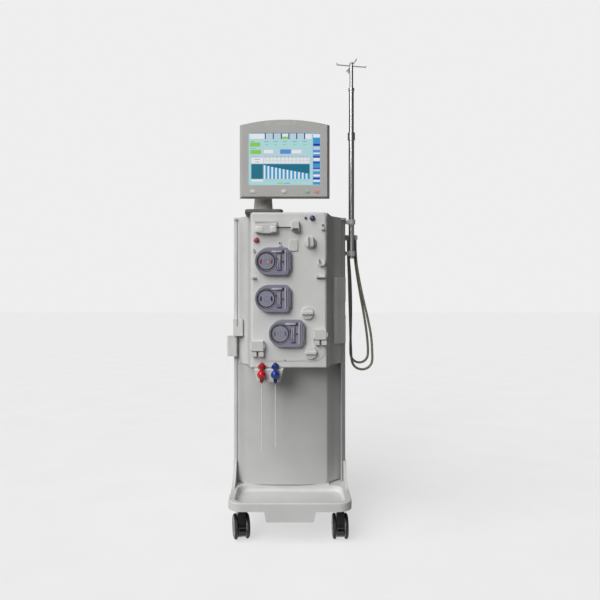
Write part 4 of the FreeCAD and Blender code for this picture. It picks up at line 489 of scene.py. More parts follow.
def make_floor():
    """A wide pale sheet of paper, lit from below as well so that the shadow on it stays soft."""
    bpy.ops.mesh.primitive_plane_add(size=FLOOR_SIZE, location=(0, 0, 0))
    floor = bpy.context.object
    floor.name = "studio_floor"
    material, tree, shader, place = start_finish("floor_paper")
    shader.inputs["Roughness"].default_value = 0.9
    pale = two_tones(tree, speckle(tree, place, 3.0, 3.0), *FLOOR_TONES)
    tree.links.new(pale, shader.inputs["Base Color"])
    shader.inputs["Emission Color"].default_value = (1, 1, 1, 1)
    shader.inputs["Emission Strength"].default_value = FLOOR_GLOW
    floor.data.materials.append(material)
    floor.visible_diffuse = False


# Modelling steps that the pieces share

def leave_all():
    """Nothing is selected."""
    bpy.ops.object.select_all(action="DESELECT")


def take(piece):
    """Only this piece is selected."""
    leave_all()
    piece.select_set(True)
    bpy.context.view_layer.objects.active = piece


def settle(piece):
    """The piece's place, turn and size go into its mesh."""
    take(piece)
    bpy.ops.object.transform_apply(location=True, rotation=True, scale=True)


def slab(name, low, high):
    """A box from its lowest to its highest corner."""
    leave_all()
    bpy.ops.mesh.primitive_cube_add(size=1, location=[(a + b) / 2 for a, b in zip(low, high)])
    piece = bpy.context.object
    piece.name = name
    piece.scale = [b - a for a, b in zip(low, high)]
    settle(piece)
    return piece


def block(name, corners, front):
    """A box given by two corners, whose depths count from a front face."""
    low, high = [(x, front + y, z) for x, y, z in corners]
    return slab(name, low, high)


def drum(name, centre, radius, depth, turn=(math.pi / 2, 0, 0), sides=48, ends="NGON"):
    """A cylinder whose axis runs from front to back, unless it is turned."""
    leave_all()
    bpy.ops.mesh.primitive_cylinder_add(
        vertices=sides, radius=radius, depth=depth, location=centre, rotation=turn, end_fill_type=ends,
    )
    piece = bpy.context.object
    piece.name = name
    settle(piece)
    return piece


def ring(name, centre, radius, thickness, sides=48):
    """A round ring that faces the front."""
    leave_all()
    bpy.ops.mesh.primitive_torus_add(
        major_radius=radius, minor_radius=thickness, major_segments=sides, minor_segments=12,
        location=centre, rotation=(math.pi / 2, 0, 0),
    )
    piece = bpy.context.object
    piece.name = name
    settle(piece)
    return piece


def pick_faces(piece, wanted):
    """Opens the piece with only those faces selected whose middle and normal are wanted."""
    take(piece)
    bpy.ops.object.mode_set(mode="EDIT")
    bpy.ops.mesh.select_mode(type="FACE")
    bpy.ops.mesh.select_all(action="DESELECT")
    bpy.ops.object.mode_set(mode="OBJECT")
    for face in piece.data.polygons:
        face.select = wanted(face.center, face.normal)
    bpy.ops.object.mode_set(mode="EDIT")


def faces_front(middle, normal):
    return normal.y < -0.9


def taper_front(piece, width, height):
    """The front face is made narrower and lower by two shares."""
    pick_faces(piece, faces_front)
    bpy.ops.transform.resize(value=(width, 1, height))
    bpy.ops.object.mode_set(mode="OBJECT")


def step_in(piece, border, depth):
    """The front face is inset by a border and pushed in by a depth, or out if it is negative."""
    pick_faces(piece, faces_front)
    bpy.ops.mesh.inset(thickness=border, depth=0)
    bpy.ops.mesh.extrude_region_move(TRANSFORM_OT_translate={"value": (0, depth, 0)})
    bpy.ops.object.mode_set(mode="OBJECT")


def pick_edge(piece, x, y):
    """Opens the piece with only the upright edges at one place in plan selected."""
    take(piece)
    bpy.ops.object.mode_set(mode="EDIT")
    bpy.ops.mesh.select_mode(type="EDGE")
    bpy.ops.mesh.select_all(action="DESELECT")
    bpy.ops.object.mode_set(mode="OBJECT")
    corners = piece.data.vertices
    for edge in piece.data.edges:
        ends = [corners[index].co for index in edge.vertices]
        edge.select = all(abs(end.x - x) < 1e-4 and abs(end.y - y) < 1e-4 for end in ends)
    bpy.ops.object.mode_set(mode="EDIT")


def cut_off(piece, place, towards):
    """What lies beyond a plane through a place, on the side that it faces, is cut off."""
    take(piece)
    bpy.ops.object.mode_set(mode="EDIT")
    bpy.ops.mesh.select_all(action="SELECT")
    bpy.ops.mesh.bisect(plane_co=place, plane_no=towards, clear_outer=True)
    bpy.ops.object.mode_set(mode="OBJECT")


def draw_on(piece, route):
    """The upright edge at the route's first place in plan is drawn on through the others."""
    pick_edge(piece, *route[0])
    for (x0, y0), (x1, y1) in zip(route, route[1:]):
        bpy.ops.mesh.extrude_edges_move(TRANSFORM_OT_translate={"value": (x1 - x0, y1 - y0, 0)})
    bpy.ops.object.mode_set(mode="OBJECT")


def round_upright(piece, x, y, width, segments=6):
    """The upright edge at one place in plan is rounded."""
    pick_edge(piece, x, y)
    bpy.ops.mesh.bevel(offset=width, segments=segments, affect="EDGES")
    bpy.ops.object.mode_set(mode="OBJECT")


def round_edges(piece, width, segments=3):
    """Every sharp edge is rounded."""
    take(piece)
    bevel = piece.modifiers.new("rounding", "BEVEL")
    bevel.width = width
    bevel.segments = segments
    bevel.limit_method = "ANGLE"
    bpy.ops.object.modifier_apply(modifier=bevel.name)


def give_wall(piece, thickness):
    """An open sheet gets a wall on its inner side."""
    take(piece)
    wall = piece.modifiers.new("wall", "SOLIDIFY")
    wall.thickness = thickness
    bpy.ops.object.modifier_apply(modifier=wall.name)


def joined(name, pieces):
    """The pieces as one mesh."""
    leave_all()
    for piece in pieces:
        piece.select_set(True)
    bpy.context.view_layer.objects.active = pieces[0]
    bpy.ops.object.join()
    pieces[0].name = name
    return pieces[0]


def moved_copy(piece, name, shift, turn=0.0, axis="Z"):
    """A copy with its own mesh, turned about an axis through the origin and then moved."""
    twin = piece.copy()
    twin.data = piece.data.copy()
    twin.name = name
    bpy.context.scene.collection.objects.link(twin)
    twin.data.transform(Matrix.Translation(shift) @ Matrix.Rotation(turn, 4, axis))
    return twin


def fit(piece, body, finish):
    """The piece is smoothed, takes its finish and rides on its body."""
    take(piece)
    bpy.ops.object.shade_smooth_by_angle(angle=math.radians(35))
    piece.data.materials.clear()
    piece.data.materials.append(finish)
    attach(piece, body)
    return piece


# Covers, sealing strips and wheel discs

COVER_WALL = 0.003

# Lower front cover, in plan: a shallow arc, then one flank on the left and two on the right
ARC_LEFT = (-0.190, -0.0935)
ARC_RIGHT = (0.161, -0.0935)
ARC_BULGE = 0.019
ARC_SIDES = 360
LEFT_EDGE_Y = -0.0580
RIGHT_BEND = (0.1960, -0.0500)
RIGHT_EDGE_Y = -0.0240
ARC_CORNER_RADIUS = 0.0048
RIGHT_BEND_RADIUS = 0.006

# Right side cover, in plan: its slanted front corner and its two rounded edges
SLANT_WIDTH = 0.0205
SLANT_DEPTH = 0.0280
SLANT_RADIUS = 0.008
REAR_RADIUS = 0.026

# Gasket under the monitor foot, partly painted shadow
GASKET_EDGE = 0.001
GASKET_DROP = 0.0032
GASKET_RIM = 0.012
GASKET_HOLLOW = 0.002

# Sealing strip beside the left side cover
SEAM_SHIFT = 0.0180
SEAM_WIDTH = 0.0025
SEAM_OUT = 0.0010
SEAM_IN = 0.0040
SEAM_GAP = 0.004

# Caster wheel discs: faces measured from the middle between the twin wheels
CASTER_TURNS = {
    "wheels_front_left": math.radians(13), "wheels_front_right": 0.0,
    "wheels_rear_left": 0.0, "wheels_rear_right": 0.0,
}
DISC_RADIUS = 0.0425
DISC_THICKNESS = 0.0024
DISC_OUTER_FACE = 0.0312
DISC_INNER_FACE = 0.0172
DISC_RIM = 0.0050
DISC_DISH = 0.0010
DISC_HUB_BORDER = 0.0210
DISC_HUB_RISE = 0.0012


def make_lower_cover():
    """The lower front cover: a wide shallow curve between two slanted flanks."""
    low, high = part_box("lower_front_cover")
    half = (ARC_RIGHT[0] - ARC_LEFT[0]) / 2
    radius = (half ** 2 + ARC_BULGE ** 2) / (2 * ARC_BULGE)
    middle_x = (ARC_LEFT[0] + ARC_RIGHT[0]) / 2
    centre = (middle_x, ARC_LEFT[1] - ARC_BULGE + radius, (low.z + high.z) / 2)
    cover = drum(
        "lower_cover", centre, radius, high.z - low.z, turn=(0, 0, 0), sides=ARC_SIDES, ends="NOTHING",
    )
    cut_off(cover, (ARC_LEFT[0], 0, 0), (-1, 0, 0))
    cut_off(cover, (ARC_RIGHT[0], 0, 0), (1, 0, 0))
    cut_off(cover, (0, 0, 0), (0, 1, 0))
    draw_on(cover, [ARC_LEFT, (low.x, LEFT_EDGE_Y)])
    draw_on(cover, [ARC_RIGHT, RIGHT_BEND, (high.x, RIGHT_EDGE_Y)])
    round_upright(cover, *ARC_LEFT, ARC_CORNER_RADIUS)
    round_upright(cover, *ARC_RIGHT, ARC_CORNER_RADIUS)
    round_upright(cover, *RIGHT_BEND, RIGHT_BEND_RADIUS, 4)
    give_wall(cover, COVER_WALL)
    # The cover takes the darker grey, painted shade under the module.
    fit(cover, "cabinet", LOWER_GREY_SHADED)
    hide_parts("lower_front_cover")


def make_right_panel():
    """The right side cover, its front corner slanted back."""
    low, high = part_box("right_side_cover")
    corner_y = low.y + SLANT_DEPTH
    panel = slab("right_panel", (low.x, corner_y, low.z), (high.x, high.y, high.z))
    pick_faces(panel, lambda middle, normal: normal.x < 0.9 and normal.y < 0.9)
    bpy.ops.mesh.delete(type="FACE")
    bpy.ops.object.mode_set(mode="OBJECT")
    draw_on(panel, [(high.x, corner_y), (high.x - SLANT_WIDTH, low.y)])
    round_upright(panel, high.x, corner_y, SLANT_RADIUS)
    round_upright(panel, high.x, high.y, REAR_RADIUS)
    give_wall(panel, COVER_WALL)
    fit(panel, "cabinet", HOUSING_GREY)
    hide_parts("right_side_cover")


def make_cover_seam():
    """The dark sealing strip beside the left side cover, open where the holder swings."""
    low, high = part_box("left_side_cover")
    holder_low, holder_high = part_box("side_holder")
    left = low.x + SEAM_SHIFT
    strips = []
    for bottom, top in ((low.z, holder_low.z), (holder_high.z, high.z)):
        strip = slab(
            "strip", (left, low.y - SEAM_OUT, bottom + SEAM_GAP),
            (left + SEAM_WIDTH, low.y + SEAM_IN, top - SEAM_GAP),
        )
        round_edges(strip, 0.0004, 2)
        strips.append(strip)
    fit(joined("cover_seam", strips), "cabinet", DARK_RUBBER_AND_SHADE)


def make_foot_gasket():
    """The dark rubber gasket on which the monitor foot turns, partly painted shadow under the foot."""
    low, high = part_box("monitor_foot")
    gasket = slab(
        "foot_gasket", (low.x + GASKET_EDGE, low.y + GASKET_EDGE, low.z - GASKET_DROP),
        (high.x - GASKET_EDGE, high.y - GASKET_EDGE, low.z + GASKET_EDGE),
    )
    pick_faces(gasket, lambda middle, normal: normal.z < -0.9)
    bpy.ops.mesh.inset(thickness=GASKET_RIM, depth=0)
    bpy.ops.mesh.extrude_region_move(TRANSFORM_OT_translate={"value": (0, 0, GASKET_HOLLOW)})
    bpy.ops.object.mode_set(mode="OBJECT")
    round_edges(gasket, 0.0008, 2)
    # Dark rubber, partly painted shadow under the foot.
    fit(gasket, NODES["monitor_foot"]["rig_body"], DARK_RUBBER_AND_SHADE)


def make_wheel_discs():
    """Hub covers on both faces of every caster wheel: one is modelled, the rest are copies."""
    disc = drum("disc", (0, DISC_THICKNESS / 2 - DISC_OUTER_FACE, 0), DISC_RADIUS, DISC_THICKNESS, sides=64)
    step_in(disc, DISC_RIM, DISC_DISH)
    dish_from = DISC_DISH / 2 - DISC_OUTER_FACE
    pick_faces(disc, lambda middle, normal: normal.y < -0.9 and middle.y > dish_from)
    bpy.ops.mesh.inset(thickness=DISC_HUB_BORDER, depth=0)
    bpy.ops.mesh.extrude_region_move(TRANSFORM_OT_translate={"value": (0, -DISC_HUB_RISE, 0)})
    bpy.ops.object.mode_set(mode="OBJECT")
    round_edges(disc, 0.0004, 2)
    for body, lean in CASTER_TURNS.items():
        low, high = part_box(f"caster_{body}")
        middle = (low + high) / 2
        for hand, side in (("left", -1), ("right", 1)):
            yaw = lean + side * math.pi / 2
            outward = Vector((math.sin(yaw), -math.cos(yaw), 0))
            outer = moved_copy(disc, f"{body}_disc_{hand}_out", middle, yaw)
            fit(outer, body, CASTER_BLACK)
            place = middle - outward * (DISC_INNER_FACE + DISC_OUTER_FACE)
            inner = moved_copy(disc, f"{body}_disc_{hand}_in", place, yaw)
            fit(inner, body, DISC_GREY)
    bpy.data.objects.remove(disc)


# Pump heads: each piece is modelled round the origin and copied onto the pumps

COVER_FRONT_Y = -0.2583
ROTOR_FRONT_Y = -0.2573
RACE_FLOOR_Y = -0.2380
RACE_RADIUS = 0.0438
RACE_FLOOR_WIDTH = 0.0052
RACE_WALL_DEPTH = 0.0105
BOSS_RADIUS = 0.0118
BOSS_DEPTH = 0.0016
ROTOR_RIM_RADIUS = 0.0324
ROTOR_RIM_THICKNESS = 0.0014
WINDOW_LIP_RADIUS = 0.0395
WINDOW_LIP_THICKNESS = 0.0018
COVER_SCREW_PLACE = (0.0680, -0.0015)
COVER_SCREW_RADIUS = 0.0038
COVER_SCREW_DEPTH = 0.0034
MARK_SIZE = (0.0036, 0.0018, 0.0112)
MARK_PLACE = (0.0215, 0.0012, 0.0005)
MARK_LEANS = ((10, 10), (8, -8), (8, -8))
MARK_FINISHES = (RED_MARK, BLUE_MARK, GREY_MARK)

# Lowest and highest corners, from the pump's axis and the front of the rotor or the cover
CRANK_BAR = ((-0.0022, -0.0016, -0.0098), (0.0022, 0.0, 0.0098))
PULL_BAR = ((0.0745, -0.0034, -0.0430), (0.0808, 0.0003, 0.0450))
LEVER_BAR = ((0.0220, -0.0022, 0.0362), (0.0620, 0.0003, 0.0428))
SLOT_BARS = (
    ((0.0470, 0.0008, -0.0220), (0.0496, 0.0034, 0.0240)),
    ((0.0528, 0.0008, -0.0260), (0.0554, 0.0034, 0.0220)),
)
LATCH_BLOCK = ((0.0635, -0.0042, 0.0345), (0.0725, 0.0003, 0.0455))
LATCH_LEAN = (0.0012, 0, 0.0016)
TONGUE_BLOCK = ((0.0395, -0.0004, 0.0075), (0.0450, 0.0032, 0.0150))
# Painted shadow in the two slots of the pump cover.
PAINTED_SLOT_SHADOWS = (
    ((0.0502, 0.0012, -0.0300), (0.0518, 0.0034, 0.0200)),
    ((0.0590, 0.0012, -0.0360), (0.0606, 0.0034, 0.0335)),
)
LEDGE_BAR = ((0.0280, -0.0002, 0.0334), (0.0725, 0.0020, 0.0352))
SLIDE_BLOCK = ((0.0445, -0.0002, -0.0392), (0.0620, 0.0042, -0.0336))


def copy_to_pumps(pattern, name, body, finish):
    """A pattern is copied onto every pump, and body holds a place for the pump's number."""
    for number, (x, z) in enumerate(PUMP_CENTRES, 1):
        piece = moved_copy(pattern, f"{name}_{number}", (x, 0, z))
        fit(piece, body.format(number), finish)
    bpy.data.objects.remove(pattern)


def make_finger_marks():
    """Two domed lens-shaped inserts in each rotor disc, in the pump's own colour."""
    leave_all()
    bpy.ops.mesh.primitive_uv_sphere_add(segments=24, ring_count=12, radius=1)
    mark = bpy.context.object
    mark.scale = MARK_SIZE
    settle(mark)
    across, inward, up = MARK_PLACE
    for number, (x, z) in enumerate(PUMP_CENTRES, 1):
        marks = []
        for side, lean in zip((-1, 1), MARK_LEANS[number - 1]):
            place = (x + side * across, ROTOR_FRONT_Y + inward, z + up)
            marks.append(moved_copy(mark, "mark", place, math.radians(lean), "Y"))
        piece = joined(f"rotor_marks_{number}", marks)
        fit(piece, f"pump_rotor_{number}", MARK_FINISHES[number - 1])
    bpy.data.objects.remove(mark)


def make_rotor_boss():
    """A low boss with a fold-out crank bar across it, and a thin dark rim round the rotor."""
    boss = drum("boss", (0, ROTOR_FRONT_Y - BOSS_DEPTH / 4, 0), BOSS_RADIUS, BOSS_DEPTH)
    step_in(boss, 0.0016, 0.0007)
    round_edges(boss, 0.0003, 2)
    crank = block("crank", CRANK_BAR, ROTOR_FRONT_Y)
    round_edges(crank, 0.0007)
    boss = joined("boss", [boss, crank])
    copy_to_pumps(boss, "rotor_boss", "pump_rotor_{}", ROTOR_GREY)
    rim = ring("rim", (0, ROTOR_FRONT_Y + 0.0004, 0), ROTOR_RIM_RADIUS, ROTOR_RIM_THICKNESS)
    copy_to_pumps(rim, "rotor_rim", "pump_rotor_{}", RIM_GREY)


def make_race_liner():
    """The wall and outer floor of the race, dark partly for their own colour and partly as painted shade in
    the deep race.
    """
    middle_y = RACE_FLOOR_Y - 0.0055
    wall = drum("wall", (0, middle_y, 0), RACE_RADIUS, RACE_WALL_DEPTH, ends="NOTHING", sides=72)
    give_wall(wall, 0.0007)
    leave_all()
    bpy.ops.mesh.primitive_circle_add(
        vertices=72, radius=RACE_RADIUS - 0.0002, fill_type="NGON", location=(0, RACE_FLOOR_Y - 0.0004, 0),
        rotation=(math.pi / 2, 0, 0),
    )
    floor = bpy.context.object
    settle(floor)
    pick_faces(floor, lambda middle, normal: True)
    bpy.ops.mesh.inset(thickness=RACE_FLOOR_WIDTH, depth=0)
    bpy.ops.mesh.delete(type="FACE")
    bpy.ops.object.mode_set(mode="OBJECT")
    give_wall(floor, 0.0005)
    liner = joined("liner", [wall, floor])
    copy_to_pumps(liner, "race_liner", "cabinet", RACE_DARK_AND_SHADE)


def make_cover_trim():
    """Trim of the pump cover: the pull rim, the lever, two slot bars and the window's lip; the first three
    are in a lighter lavender that stands partly for painted highlights.
    """
    pull = block("pull", PULL_BAR, COVER_FRONT_Y)
    taper_front(pull, 0.55, 0.97)
    round_edges(pull, 0.0009)
    lever = block("lever", LEVER_BAR, COVER_FRONT_Y)
    round_edges(lever, 0.0010)
    bars = [pull, lever]
    for corners in SLOT_BARS:
        bar = block("bar", corners, COVER_FRONT_Y)
        round_edges(bar, 0.0006, 2)
        bars.append(bar)
    copy_to_pumps(joined("trim", bars), "cover_trim", "pump_cover_{}", TRIM_LAVENDER_AND_HIGHLIGHT)
    lip = ring("lip", (0, COVER_FRONT_Y + 0.0014, 0), WINDOW_LIP_RADIUS, WINDOW_LIP_THICKNESS, sides=64)
    copy_to_pumps(lip, "window_lip", "pump_cover_{}", PUMP_LAVENDER)


def make_cover_latch():
    """Dark pieces of the pump cover: the latch, a screw, a tongue, painted shadow in two slots, and a ledge.
    """
    latch = block("latch", LATCH_BLOCK, COVER_FRONT_Y)
    pick_faces(latch, faces_front)
    bpy.ops.transform.resize(value=(0.6, 1, 0.6))
    bpy.ops.transform.translate(value=LATCH_LEAN)
    bpy.ops.object.mode_set(mode="OBJECT")
    round_edges(latch, 0.0008)
    screw_x, screw_z = COVER_SCREW_PLACE
    screw = drum(
        "screw", (screw_x, COVER_FRONT_Y + 0.0014, screw_z), COVER_SCREW_RADIUS, COVER_SCREW_DEPTH, sides=24,
    )
    step_in(screw, 0.0014, 0.0009)
    tongue = block("tongue", TONGUE_BLOCK, COVER_FRONT_Y)
    round_edges(tongue, 0.0008)
    darks_and_shades = [latch, screw, tongue]
    # The two slot strips are painted shadow.
    for corners, rounding in ((PAINTED_SLOT_SHADOWS[0], 0.0003), (PAINTED_SLOT_SHADOWS[1], 0.0003), (LEDGE_BAR, 0.0004)):
        dark = block("dark", corners, COVER_FRONT_Y)
        round_edges(dark, rounding, 2)
        darks_and_shades.append(dark)
    copy_to_pumps(joined("latch", darks_and_shades), "cover_latch_and_shade", "pump_cover_{}", LATCH_DARK_AND_SHADE)


def make_cover_slide():
    """The blue slide mark at the foot of the pump cover's field."""
    slide = block("slide", SLIDE_BLOCK, COVER_FRONT_Y)
    pick_faces(slide, faces_front)
    bpy.ops.mesh.inset(thickness=0.0010, depth=0.0006)
    bpy.ops.object.mode_set(mode="OBJECT")
    round_edges(slide, 0.0004, 2)
    copy_to_pumps(slide, "cover_slide", "pump_cover_{}", BLUE_MARK)


def make_pump_details():
    """All the small pieces on the three pump heads."""
    make_finger_marks()
    make_rotor_boss()
    make_race_liner()
    make_cover_trim()
    make_cover_latch()
    make_cover_slide()


# Small pieces on the front panel

PORT_RADIUS = 0.0112
PORT_DEPTH = 0.0084
SPOUT_LENGTH = 0.0072
SPOUT_BORE_DEPTH = 0.0030
PORT_RIBS = 12
RIB_CORNERS = ((-0.0006, -0.0072, 0.0098), (0.0006, -0.0004, 0.0116))
PORTS = (
    ("pressure_port_blue", 0.091, 1.300, BLUE_PORT, "connector_blue"),
    ("pressure_port_red", -0.137, 1.210, RED_PORT, "connector_red"),
)
DOT_PLACE = (0.0645, PANEL_FRONT_Y - 0.0017, 1.300)
DOT_RADIUS = 0.0054
DOT_DEPTH = 0.0034
SCREW_RADIUS = 0.0030
SCREW_DEPTH = 0.0012
PANEL_SCREW_PLACE = (-0.0200, DOOR_FRONT_Y - 0.0002, 0.7195)

# Syringe pump: two painted highlights and a top band of painted shade on the cradle, and the clutch from the
# drive's right end and underside
HIGHLIGHT_SPANS = ((-0.1395, -0.1070), (-0.0800, -0.0570))
HIGHLIGHT_BOTTOM = 1.2385
HIGHLIGHT_TOP = 1.2655
SHADE_BAND_LOW = (-0.1415, -0.2432, 1.2748)
SHADE_BAND_HIGH = (-0.0535, -0.2416, 1.2856)
CLUTCH_LEFT = 0.0290
CLUTCH_RIGHT = 0.0030
CLUTCH_TOP = 0.0115

# Dark strips in the tube clips, the hook, the shelf and the line clamps, partly dark detail and partly
# painted shadow: left, right, bottom and top, and how far each stands out from the panel
CLIP_STRIPS = (
    (-0.0450, -0.0385, 1.1865, 1.2000, 0.0052), (0.1300, 0.1375, 1.2570, 1.2740, 0.0052),
    (-0.1500, -0.1450, 1.1665, 1.1735, 0.0052), (-0.1545, -0.1395, 1.0565, 1.0595, 0.0052),
    (0.1200, 0.1360, 1.1098, 1.1116, 0.0138), (0.1192, 0.1210, 1.1120, 1.1320, 0.0138),
    (0.1070, 0.1420, 1.0540, 1.0566, 0.0120),
)
CLAMP_CORNERS = ((-0.156, 0.737), (0.099, 0.784))
CLAMP_STRIPS = (
    (0.0010, 0.0480, 0.0004, 0.0022), (0.0010, 0.0480, 0.0158, 0.0178), (0.0205, 0.0235, 0.0024, 0.0156),
)
CLAMP_STRIP_REACH = 0.0126
STRIP_THICKNESS = 0.0050


def make_pressure_ports():
    """A ribbed, coloured collar round each pressure port's spout."""
    cap = drum("cap", (0, PANEL_FRONT_Y - PORT_DEPTH / 2, 0), PORT_RADIUS, PORT_DEPTH, sides=64)
    pick_faces(cap, faces_front)
    bpy.ops.transform.resize(value=(0.86, 1, 0.86))
    bpy.ops.mesh.inset(thickness=0.0040, depth=0)
    bpy.ops.mesh.extrude_region_move(TRANSFORM_OT_translate={"value": (0, -SPOUT_LENGTH, 0)})
    bpy.ops.transform.resize(value=(0.9, 1, 0.9))
    bpy.ops.mesh.inset(thickness=0.0022, depth=0)
    bpy.ops.mesh.extrude_region_move(TRANSFORM_OT_translate={"value": (0, SPOUT_BORE_DEPTH, 0)})
    bpy.ops.object.mode_set(mode="OBJECT")
    round_edges(cap, 0.0005, 2)
    rib = block("rib", RIB_CORNERS, PANEL_FRONT_Y)
    ribs = []
    for index in range(PORT_RIBS):
        ribs.append(moved_copy(rib, "rib", (0, 0, 0), index * math.tau / PORT_RIBS, "Y"))
    bpy.data.objects.remove(rib)
    collar = joined("collar", [cap, *ribs])
    for name, x, z, finish, slot in PORTS:
        fit(moved_copy(collar, name, (x, 0, z)), "cabinet", finish)
    bpy.data.objects.remove(collar)


def make_status_dot():
    """A small sunk dark button."""
    dot = drum("status_dot", DOT_PLACE, DOT_RADIUS, DOT_DEPTH, sides=32)
    step_in(dot, 0.0016, 0.0012)
    round_edges(dot, 0.0004, 2)
    fit(dot, "cabinet", LATCH_DARK_AND_SHADE)


def make_panel_screw():
    """A sunk screw head in the door."""
    screw = drum("panel_screw", PANEL_SCREW_PLACE, SCREW_RADIUS, SCREW_DEPTH, sides=24)
    step_in(screw, SCREW_RADIUS * 0.45, 0.0007)
    round_edges(screw, 0.0003, 2)
    fit(screw, "cabinet", SCREW_DARK)


def make_syringe_details():
    """Two painted highlights and a top band of painted shade on the cradle, and a clutch lever under the
    carriage.
    """
    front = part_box("syringe_holder")[0].y
    highlights = []
    for left, right in HIGHLIGHT_SPANS:
        highlight = slab("highlight", (left, front - 0.0018, HIGHLIGHT_BOTTOM), (right, front + 0.0006, HIGHLIGHT_TOP))
        taper_front(highlight, 0.92, 0.72)
        round_edges(highlight, 0.0009)
        highlights.append(highlight)
    fit(joined("syringe_highlights", highlights), "cabinet", KEY_WHITE_AND_HIGHLIGHT)
    shade_band = slab("syringe_shade_band", SHADE_BAND_LOW, SHADE_BAND_HIGH)
    step_in(shade_band, 0.0012, 0.0005)
    round_edges(shade_band, 0.0002, 2)
    fit(shade_band, "cabinet", BAND_SHADE_GREY)
    low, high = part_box("syringe_drive")
    clutch = slab(
        "syringe_clutch", (high.x - CLUTCH_LEFT, low.y - 0.0016, low.z + 0.0006),
        (high.x - CLUTCH_RIGHT, low.y + 0.0006, low.z + CLUTCH_TOP),
    )
    taper_front(clutch, 0.86, 0.7)
    round_edges(clutch, 0.0008)
    fit(clutch, "syringe_drive", DARK_RUBBER_AND_SHADE)


def make_rest_pads():
    """Dark strips in the tube clips, the hook, the shelf and the line clamps, partly dark detail and partly
    painted shadow under and inside them.
    """
    places = list(CLIP_STRIPS)
    for x, z in CLAMP_CORNERS:
        for left, right, low, high in CLAMP_STRIPS:
            places.append((x + left, x + right, z + low, z + high, CLAMP_STRIP_REACH))
    dark_strips = []
    for left, right, low, high, reach in places:
        front = PANEL_FRONT_Y - reach
        # Each strip is partly dark detail and partly painted shadow.
        dark_strip = slab("dark_strip", (left, front, low), (right, front + STRIP_THICKNESS, high))
        round_edges(dark_strip, 0.0004, 2)
        dark_strips.append(dark_strip)
    fit(joined("dark_strips_and_shade", dark_strips), "cabinet", DARK_RUBBER_AND_SHADE)


def make_panel_details():
    """All the small pieces on the front panel."""
    make_syringe_details()
    make_rest_pads()
    make_pressure_ports()
    make_status_dot()
    make_panel_screw()


# Screen layout: its boxes in millimetres from the screen's lower left corner

TAB_STOPS = (67.8, 100.2, 132.9, 163.8, 195.2, 227.5)
TAB_ROW = (187.0, 210.5)
READING_STOPS = (72.5, 109.5, 146.6, 187.0, 227.5)
CHART = (59.0, 248.0, 25.0, 85.5)
BAR_COUNT = 12
COLUMN = (261.0, 291.0)


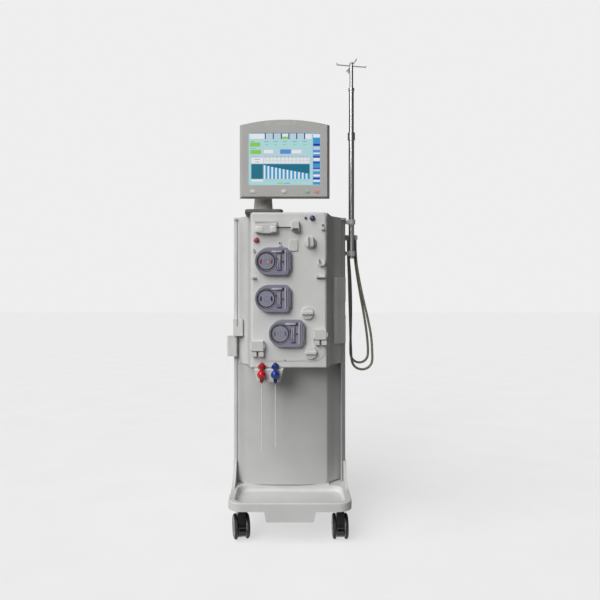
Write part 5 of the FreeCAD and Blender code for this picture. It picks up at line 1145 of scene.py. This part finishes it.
def screen_boxes():
    """The boxes by colour: left, right, bottom, top and layer."""
    low, high = TAB_ROW
    boxes = {"white": [], "mist": [], "navy": [], "blue": [], "green": [], "teal": [], "ink": [], "sky": []}
    boxes["white"].append((5, 65.5, low + 1, high - 3, 1))
    for index, stop in enumerate(TAB_STOPS):
        boxes["navy"].append((stop - 2.2, stop + 2.2, low, high, 1))
        after = TAB_STOPS[index + 1] - 2.2 if index + 1 < len(TAB_STOPS) else 256.5
        boxes["white" if index == 5 else "mist"].append((stop + 2.8, after - 0.6, low + 1, high - 3, 1))
    boxes["navy"].append((3, 257, high, high + 1.2, 1))
    left, right = TAB_STOPS[2] + 3.4, TAB_STOPS[3] - 3.4
    boxes["white"].append((left, right, low + 10, high - 3, 2))
    boxes["green"].append((left, right, low + 1, low + 9.4, 2))
    for stop in READING_STOPS:
        boxes["ink"].append((stop - 9, stop + 9, 176.2, 177.4, 1))
        for piece in range(3):
            start = stop - 6.5 + piece * 4.6
            boxes["green"].append((start, start + 3.2, 163.0, 166.4, 1))
    boxes["ink"] += [(7, 24, 176.4, 177.6, 1), (7, 28, 148.6, 149.8, 1), (12, 40, 117.0, 118.4, 1)]
    boxes["green"] += [(5.5, 46.5, 156.5, 173.0, 1), (7, 50.5, 126.5, 142.8, 1)]
    boxes["mist"] += [(54, 110, 124.5, 146.5, 1), (124, 226, 124.5, 146.5, 1)]
    boxes["white"] += [(62, 100, 129, 143, 2), (176, 214, 129, 143, 2)]
    boxes["blue"].append((128, 171.5, 127, 145, 2))
    boxes["mist"].append((8, 252, 85.5, 121, 1))
    boxes["white"] += [(11.5, 58.5, 88, 110.5, 2), (61, 247, 100.5, 110.5, 2), (61, 247, 89.0, 98.5, 2)]
    chart_left, chart_right, chart_low, chart_high = CHART
    boxes["teal"].append((10.5, 58.0, chart_low, chart_high, 2))
    boxes["teal"].append((chart_left, chart_right, chart_low, chart_high, 2))
    pitch = (chart_right - chart_left - 3) / BAR_COUNT
    for index in range(BAR_COUNT):
        start = chart_left + 2 + index * pitch
        tall = 55.5 - 33.0 * (index / (BAR_COUNT - 1)) ** 0.9
        centre = start + pitch * 0.46
        boxes["white"].append((start, centre, chart_low, chart_low + tall, 3))
        boxes["sky"].append((centre, start + pitch * 0.94, chart_low, chart_low + tall - 0.8, 3))
        for row, half in ((105.0, 2.6), (93.5, 2.2), (116.5, 2.8)):
            middle = start + pitch * 0.5
            boxes["ink"].append((middle - half, middle + half, row, row + 1.3, 3))
    boxes["ink"] += [(24, 46, 103.5, 105.0, 3), (27, 43, 93.0, 94.4, 3)]
    boxes["white"].append((11, 58, 14.5, 22.5, 1))
    boxes["green"] += [(60, 248, 19.4, 20.2, 1), (116, 141, 5.8, 9.4, 1)]
    boxes["blue"].append((145, 168, 6.2, 9.0, 1))
    boxes["blue"].append((COLUMN[0], COLUMN[1], 2.0, 211.0, 1))
    for level, tall, colour in (
        (193, 15, "white"), (177, 12, "sky"), (160, 8, "navy"), (143, 14, "mist"), (126, 6, "white"),
        (112, 5, "navy"), (98, 12, "white"), (88, 5, "navy"), (76, 9, "sky"), (66, 4, "navy"),
        (56, 8, "mist"), (46, 4, "sky"), (34, 9, "white"), (24, 5, "navy"), (13, 8, "white"), (4, 6, "sky"),
    ):
        boxes[colour].append((COLUMN[0] + 1.4, COLUMN[1] - 1.4, level, level + tall, 2))
    return boxes


def make_screen():
    """The screen's layout as thin tiles, one piece for each colour."""
    finishes = {
        "white": LIT_WHITE, "mist": LIT_MIST, "navy": LIT_NAVY, "blue": LIT_BLUE,
        "green": LIT_GREEN, "teal": LIT_TEAL, "ink": LIT_INK, "sky": LIT_SKY,
    }
    for colour, boxes in screen_boxes().items():
        tiles = []
        for left, right, low, high, layer in boxes:
            front = SCREEN_FRONT_Y - layer * TILE_THICKNESS
            tiles.append(slab(
                "tile", (SCREEN_LEFT + left * MM, front, SCREEN_BOTTOM + low * MM),
                (SCREEN_LEFT + right * MM, SCREEN_FRONT_Y + 0.0002, SCREEN_BOTTOM + high * MM),
            ))
        piece = joined(f"screen_{colour}", tiles)
        round_edges(piece, 0.00012, 1)
        fit(piece, "monitor", finishes[colour])


bpy.context.scene.view_settings.view_transform = "Standard"
make_camera()
make_hose("supply_hose", HOSE_A_ROUTE, HOSE_A_Y, "hose_a", HOSE_RUBBER)
make_hose("return_hose", HOSE_B_ROUTE, HOSE_B_Y, "hose_b", HOSE_RUBBER)
make_room()
make_floor()
make_light("key_light", KEY_FROM, KEY_STRENGTH, KEY_SPREAD)
make_light("high_light", HIGH_FROM, HIGH_STRENGTH, HIGH_SPREAD)
dress_nodes()
make_lower_cover()
make_right_panel()
make_cover_seam()
make_foot_gasket()
make_wheel_discs()
make_pump_details()
make_panel_details()
make_screen()
